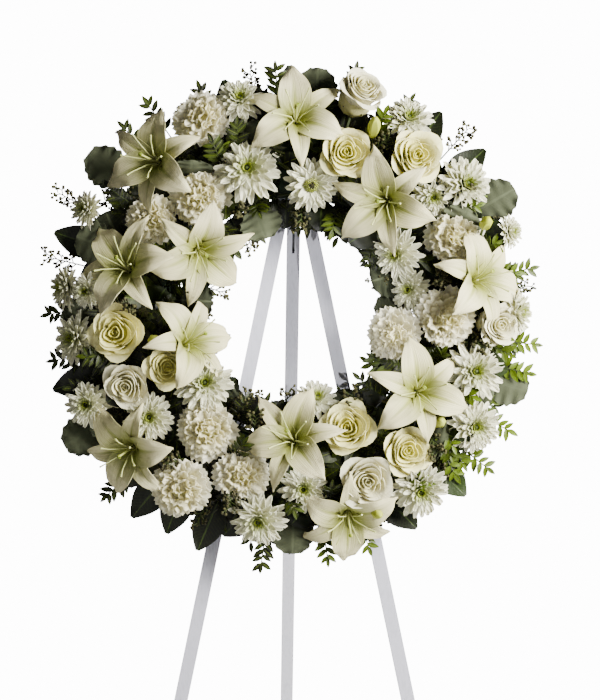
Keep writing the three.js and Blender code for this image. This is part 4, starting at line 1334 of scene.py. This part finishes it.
def bowed(root: Vector, tip: Vector) -> Callable[[Array], tuple[Array, Array]]:
    """The arched rib of a leaf or sprig, as in the CAD model.

    Args:
        root: Its root.
        tip: Its tip.

    Returns:
        A function that gives points and directions for shares of the way.
    """
    knee = (root + tip) / 2
    knee.z = max(root.z, tip.z) + 3
    a, b, c = (np.array(p) for p in (root, knee, tip))

    def curve(t: Array) -> tuple[Array, Array]:
        t = np.asarray(t)[..., None]
        point = (1 - t) ** 2 * a + 2 * t * (1 - t) * b + t**2 * c
        along = 2 * (1 - t) * (b - a) + 2 * t * (c - b)
        return point, along / (np.linalg.norm(along, axis=-1, keepdims=True) + 1e-9)

    return curve


def leaf(
    heap: Heap, shape: Shape, foot: Vector, along: Vector, over: Vector, length: float, half: float,
    skin: Skin, tone: float, droop: float = 0.15,
) -> None:
    """A small plain leaf.

    Args:
        heap: Takes the shape.
        shape: The sheet to use.
        foot: Its foot.
        along: Its direction.
        over: The direction that its upper face looks.
        length: Its length.
        half: Its half width.
        skin: Its finish.
        tone: A number that the finish reads.
        droop: How far its tip hangs, as a share of its length.
    """
    along = along.normalized()
    side = along.cross(over).normalized()
    face = side.cross(along)
    f, a, s, o = (np.array(p) for p in (foot, along, side, face))

    def surface(u: Array, v: Array) -> Array:
        wide = half * (0.06 + np.sin(math.pi * np.clip(0.03 + 0.94 * v, 0, 1) ** 0.85) ** 0.85)
        raised = LEAF_FOLD * np.abs(u) * wide - droop * length * v**2
        return f + np.outer(v * length, a) + np.outer(u * wide, s) + np.outer(raised, o)

    heap.add(shape, laid(shape, surface, 0.6), skin, tone)


def grow(heap: Heap, green: Green, root: Vector, rng: np.random.Generator) -> None:
    """One leaf or sprig from its root to its tip.

    Args:
        heap: Takes the shapes.
        green: Its kind and tip.
        root: Its root.
        rng: The seeded draws.
    """
    tip = Vector(green.tip)
    curve = bowed(root, tip)
    side = (tip - root).cross(UP).normalized()
    whole = float(np.sum(np.linalg.norm(np.diff(curve(np.linspace(0, 1, 12))[0], axis=0), axis=1)))
    share = min(0.86, green.kind.value / whole)
    stem_end = 1 - share

    def at(t: float) -> tuple[Vector, Vector, Vector]:
        point, along = curve(np.array(t))
        direction = Vector(along)
        return Vector(point), direction, side.cross(direction).normalized()

    def stem(last: float, thick: float, thin: float) -> None:
        steps = np.linspace(0, last, 6)
        heap.tube([at(t)[0] for t in steps], list(np.linspace(thick, thin, 6)), Skin.STEM_GREEN, 0.2)

    if green.kind in (Kind.LEMON, Kind.SILVER):
        lobed = green.kind is Kind.SILVER
        half = 27.0 if lobed else 19.0
        phase, sag = rng.uniform(0, TURN), rng.uniform(-1, 2)
        wide_side = np.array(side)

        def surface(u: Array, v: Array) -> Array:
            point, along = curve(stem_end + share * v)
            over = np.cross(np.broadcast_to(wide_side, along.shape), along)
            if lobed:
                lobes = 0.92 + 0.055 * np.cos(v * TURN * 5.4 - 2.6) - 0.08 * v
                wide = half * (0.08 + np.sin(math.pi * np.clip(0.05 + 0.9 * v, 0, 1)) ** 0.6 * lobes)
                lead = 5 * np.abs(u) * (1 - v)
                raised = 1.6 * np.cos(u * math.pi * 1.5) + 2.2 * np.sin(v * 26 + phase) * u**2
            else:
                wide = half * (0.04 + np.sin(math.pi * np.clip(0.03 + 0.95 * v, 0, 1) ** 0.9) ** 0.9)
                lead = np.zeros_like(v)
                raised = 5 * np.abs(u) ** 1.2 * (1 - v) + 0.7 * np.sin(v * 11 + phase) * u**2 + sag * u * v
            return point + wide_side * (u * wide)[:, None] + over * raised[:, None] + along * lead[:, None]

        skin = Skin.GREY_LEAF if lobed else Skin.DARK_LEAF
        shape = LOBED if lobed else BLADE
        heap.add(shape, laid(shape, surface, 0.7), skin, green.tone + rng.uniform(-0.1, 0.1))
        stem(stem_end + 0.03, 1.5, 1.0)
        return
    stem(0.98, 1.4, 0.6)
    if green.kind is Kind.SPRIG:
        pairs = 5
        for i in range(pairs * 2 + 1):
            t = stem_end + share * (0.02 + 0.86 * (i // 2) / pairs + 0.04 * (i % 2))
            point, along, over = at(t)
            swing = 0 if i == pairs * 2 else (1 if i % 2 else -1) * rng.uniform(0.75, 1.15)
            if i == pairs * 2:
                point, along, over = at(0.86)
            direction = along * math.cos(swing) + side * math.sin(swing) + over * rng.uniform(-0.1, 0.35)
            facing = over + side * rng.uniform(-0.35, 0.35)
            size = rng.uniform(15, 20) * (1 - 0.25 * (i / (pairs * 2)))
            tone = green.tone + rng.uniform(-0.12, 0.15)
            leaf(heap, LEAFLET, point, direction, facing, size, size * 0.21, Skin.SMALL_LEAF, tone, 0.18)
    elif green.kind is Kind.FERN:
        pairs = 15
        for i in range(pairs * 2):
            point, along, over = at(stem_end + share * (0.98 * (i // 2) / pairs))
            swing = (1 if i % 2 else -1) * rng.uniform(0.8, 1.0)
            direction = along * math.cos(swing) + side * math.sin(swing) + over * rng.uniform(-0.1, 0.2)
            size = 11 * (1 - 0.55 * (i / (pairs * 2)))
            leaf(heap, LEAFLET, point, direction, over, size, 1.2, Skin.DARK_LEAF, green.tone)
    else:
        for i in range(12):
            point, along, over = at(stem_end + share * (0.05 + 0.085 * i))
            swing = (1 if i % 2 else -1) * rng.uniform(0.5, 1.1)
            reach = (along * math.cos(swing) + side * math.sin(swing) + over * rng.uniform(-0.3, 0.6)) * 6.5
            fork = point + reach
            heap.tube([point, fork], [0.8, 0.7], Skin.STEM_GREEN)
            for _ in range(4):
                seed = fork + Vector(rng.uniform(-3.6, 3.6, 3)) + reach * 0.3
                size = rng.uniform(1.5, 2.2)
                heap.tube([fork, seed], [0.6, 0.5], Skin.STEM_GREEN)
                heap.ball(seed, (size, size, size), Skin.SEED, rng.uniform(0.1, 0.9), Matrix.Identity(4))


@dataclass
class Greenery:
    """The leaves and sprigs round the ring and among the blooms."""

    seed: int = 23
    over_foam: int = 640

    def branch(
        self, name: str, greens: list[Green], share: int, shares: int, radius: float, pin_turn: float
    ) -> None:
        """One leafy branch along the foam's edge, with all that grows from it.

        Args:
            name: The CAD node.
            greens: All the leaves of this edge.
            share: Which share of the ring it is.
            shares: How many there are.
            radius: The branch's radius about the ring's centre.
            pin_turn: How far its pin stands off the middle of the share.
        """
        rng = np.random.default_rng(self.seed + share + shares * 10)
        heap = Heap()
        span = TURN / shares
        low, high = share * span, (share + 1) * span
        margin = 6 / radius

        def on_branch(angle: float) -> Vector:
            return Vector((radius * math.cos(angle), radius * math.sin(angle), BRANCH_Z))

        bends = np.linspace(low + margin, high - margin, 13)
        heap.tube([on_branch(a) for a in bends], [1.2] + [2.6] * 11 + [1.2], Skin.STEM_GREEN, 0.1)
        for green in greens:
            angle = math.atan2(green.tip[1], green.tip[0]) % TURN
            if low <= angle < high:
                root = on_branch(min(max(angle, low + 3 * margin), high - 3 * margin))
                grow(heap, green, root, rng)
        at = on_branch(low + span * (0.5 + pin_turn))
        inwards = Vector((at.x, at.y, 0)).normalized() * (-12 if radius > RING_RADIUS else 12)
        heap.tube([at, at + inwards - UP * 14], [1.5, 0.8], Skin.STEM_GREEN, 0.1)
        heap.build(name + "_leaves", [name], "leaves")

    def fill(self) -> None:
        """The sprigs among the blooms, and the leaves that hide the foam."""
        rng = np.random.default_rng(self.seed)
        heap = Heap()
        for green in AMONG_BLOOMS:
            x, y, z = green.tip
            far = math.hypot(x, y)
            root = stem_entry(x, y) if far < 250 else Vector((x * 226 / far, y * 226 / far, BRANCH_Z))
            back = Vector((rng.uniform(-18, 18), rng.uniform(-30, -8), -12))
            start = root + back if far < 250 else root
            start.z = max(start.z, 36)
            grow(heap, green, start, rng)
        heap.build("sprigs_among_blooms", [], "leaves")
        heap = Heap()
        for _ in range(self.over_foam):
            angle, r = rng.uniform(0, TURN), rng.uniform(156, 226)
            on_bevel = 8 if abs(r - RING_RADIUS) > 28 else 0
            foot = Vector((r * math.cos(angle), r * math.sin(angle), FOAM_TOP - 1 - on_bevel))
            turn = rng.uniform(0, TURN)
            direction = Vector((math.cos(turn), math.sin(turn), rng.uniform(0.1, 0.8)))
            size = rng.uniform(18, 36)
            tone = rng.uniform(-0.1, 0.4)
            skin = Skin.DARK_LEAF if rng.random() < 0.4 else Skin.SMALL_LEAF
            leaf(heap, LEAFLET, foot, direction, UP, size, size * 0.34, skin, tone, 0.2)
        heap.build("leaves_over_foam", [], "leaves")
        self.rim("rim_leaves_outside", 110, 232, (248, 292), (26, 62), rng)
        self.rim("rim_sprigs_between", 80, 206, (226, 268), (58, 86), rng)
        self.rim("leaves_behind_blooms", 90, 212, (244, 282), (26, 50), rng)
        self.rim("rim_leaves_inside", 96, 150, (100, 126), (34, 66), rng)

    @staticmethod
    def under_blooms(x: float, y: float, z: float) -> float:
        """Keeps a leaf tip under any lily, rose, carnation or broad felted leaf that it would pass over.

        Args:
            x: The tip's place to the right.
            y: The tip's place upwards.
            z: The tip's height.

        Returns:
            The height that clears the blooms.
        """
        blooms = (*LILIES.values(), *ROSES.values(), *CARNATIONS.values())
        heads = [(head.at, head.size / 2) for head in blooms]
        leaves = [(green.tip, 36) for green in (*OUTER_GREENS, *INNER_GREENS) if green.kind is Kind.SILVER]
        over = [at[2] for at, reach in (*heads, *leaves) if math.dist(at[:2], (x, y)) < reach]
        return min([z, *(height - 22 for height in over)])

    def rim(
        self, name: str, count: int, foot: float, reach: tuple[float, float], rise: tuple[float, float],
        rng: np.random.Generator,
    ) -> None:
        """Leaves and sprigs all round an edge of the ring, between the longer ones.

        Args:
            name: The object's name.
            count: How many there are.
            foot: The radius that they grow from.
            reach: The least and the greatest radius of their tips.
            rise: The least and the greatest height of their tips.
            rng: The seeded draws.
        """
        heap = Heap()
        kinds = [
            Kind.SPRIG, Kind.LEMON, Kind.SPRIG, Kind.SEEDS,
            Kind.SPRIG, Kind.LEMON, Kind.SILVER, Kind.SPRIG,
        ]
        for i in range(count):
            angle = (i + rng.uniform(-0.35, 0.35)) / count * TURN
            lean = angle + rng.uniform(-0.12, 0.12)
            r = rng.uniform(*reach)
            z = self.under_blooms(r * math.cos(lean), r * math.sin(lean), rng.uniform(*rise))
            root = Vector((foot * math.cos(angle), foot * math.sin(angle), min(BRANCH_Z + 2, z)))
            tip = (r * math.cos(lean), r * math.sin(lean), z)
            # Leaves on the right side get a higher tone: painted light, lighter where the light falls more
            # strongly
            bright = 0.7 if tip[0] > 150 else 0.0
            kind = kinds[(i * 5 + count) % len(kinds)]
            grow(heap, Green(kind, tip, bright + rng.uniform(-0.1, 0.15)), root, rng)
        heap.build(name, [], "leaves")

    def build(self) -> None:
        """Builds every branch and the fill."""
        for i in range(OUTER_SHARES):
            self.branch(f"outer_greenery_{i + 1}", OUTER_GREENS, i, OUTER_SHARES, BRANCH_OUT, 0.0)
        for i in range(INNER_SHARES):
            self.branch(f"inner_greenery_{i + 1}", INNER_GREENS, i, INNER_SHARES, BRANCH_IN, 0.1)
        self.fill()


@dataclass
class Easel:
    """The made parts, which stay as the CAD model has them."""

    finishes: dict[str, SolidFinish] = field(
        default_factory=lambda: {
            "foam_ring": FOAM,
            "ring_tray": TRAY,
            "front_leg_left": PAINT,
            "front_leg_right": PAINT,
            "back_leg": LIGHTENED_BACK_PAINT,
            "head_plate": PAINT,
            "leg_screw_left": ZINC,
            "leg_screw_right": ZINC,
            "wire_tie_left": ZINC,
            "wire_tie_right": ZINC,
            "hinge_pin": ZINC,
        }
    )

    def build(self) -> None:
        """Gives each node its finish."""
        for name, finish in self.finishes.items():
            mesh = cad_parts[name].data
            mesh.materials.clear()
            mesh.materials.append(Paints.of(finish))
            LOG.info("%s: %s", name, finish.name)


@dataclass
class Studio:
    """The floor, the soft light and the camera at the photo's angle."""

    aim: tuple[float, float, float] = (3.6, -39.6, 90.0)
    distance: float = 2700.0
    left: float = 90.0
    seen_height: float = 840.0

    def floor(self) -> None:
        """A plain pale floor."""
        clear_selection()
        bpy.ops.mesh.primitive_plane_add(size=3.0, location=(0, 0, 0))
        floor = bpy.context.active_object
        floor.name = "floor"
        pale = SolidFinish("pale_floor", "#F2F2F2", "#EEEEEE", 0.8, scale_mm=60, bump_mm=0.0)
        floor.data.materials.append(Paints.of(pale))

    @staticmethod
    def hang(data: bpy.types.Light, place: tuple[float, float, float], target: Vector) -> None:
        """Puts a light in its place, turned to what it lights.

        Args:
            data: The light.
            place: Where it hangs, in metres.
            target: What it looks at, in the wreath's frame.
        """
        made = bpy.data.objects.new(data.name, data)
        made.location = place
        aim = TO_ROW @ target - Vector(place)
        made.rotation_euler = aim.to_track_quat("-Z", "Y").to_euler()
        bpy.context.collection.objects.link(made)

    def light(self, name: str, place: tuple[float, float, float], power: float, size: float) -> None:
        """A soft light that looks at the wreath.

        Args:
            name: Its name.
            place: Where it hangs, in metres.
            power: In watts.
            size: Its side, in metres.
        """
        data = bpy.data.lights.new(name, "AREA")
        data.energy = power
        data.size = size
        data.color = WARM_WHITE
        self.hang(data, place, Vector((0, 0, 60)))

    def spot(self, name: str, place: tuple[float, float, float], power: float, angle: float) -> None:
        """A narrow light through the wreath's hole, onto the legs behind it.

        Args:
            name: Its name.
            place: Where it stands, in metres.
            power: In watts.
            angle: Its whole opening, in degrees.
        """
        data = bpy.data.lights.new(name, "SPOT")
        data.energy = power
        data.spot_size = math.radians(angle)
        data.spot_blend = 0.5
        data.shadow_soft_size = 0.02
        self.hang(data, place, Vector((10, 0, 0)))

    def world(self) -> None:
        """White round the object, softer as a light than it looks."""
        world = bpy.data.worlds.new("white_room")
        bpy.context.scene.world = world
        world.use_nodes = True
        tree = world.node_tree
        tree.nodes.clear()
        out = add_node(tree, "OutputWorld")
        soft = add_node(tree, "Background", {"Color": linear("#FAFAFA"), "Strength": 0.06})
        seen = add_node(tree, "Background", {"Color": linear("#FFFFFF"), "Strength": 14.0})
        ray = add_node(tree, "LightPath").outputs["Is Camera Ray"]
        mix = add_node(tree, "MixShader", {0: ray, 1: soft.outputs[0], 2: seen.outputs[0]})
        tree.links.new(mix.outputs[0], out.inputs[0])

    def camera(self) -> None:
        """The camera, square to the wreath's face and a little to its left."""
        data = bpy.data.cameras.new("camera")
        data.sensor_fit = "VERTICAL"
        data.sensor_height = SENSOR_MM
        data.lens = SENSOR_MM * self.distance / self.seen_height
        made = bpy.data.objects.new("camera", data)
        aim = Vector(self.aim)
        place = aim + Vector((-self.left, 0, self.distance))
        swing = Matrix.Rotation(-math.atan2(self.left, self.distance), 4, "Y")
        turn = turn_of(TO_ROW) @ swing
        made.matrix_world = Matrix.Translation(TO_ROW @ place) @ turn
        bpy.context.collection.objects.link(made)
        bpy.context.scene.camera = made

    def build(self) -> None:
        """Builds the stage."""
        self.floor()
        self.light("key", (1.32, -0.98, 1.6), 144, 0.7)
        self.light("fill", (-0.4, -2.8, 0.9), 11, 1.6)
        self.light("back", (-0.9, 2.4, 2.2), 14, 1.2)
        self.spot("through_hole", (0.6, -2.55, 1.5), 190, 6.2)
        self.world()
        self.camera()


def main() -> None:
    """Builds the looks."""
    logging.basicConfig(level=logging.INFO, format="%(name)s: %(message)s")
    for part in (Easel(), Blooms(), Greenery(), Studio()):
        part.build()
    bpy.context.view_layer.update()


if __name__ == "__main__":
    main()
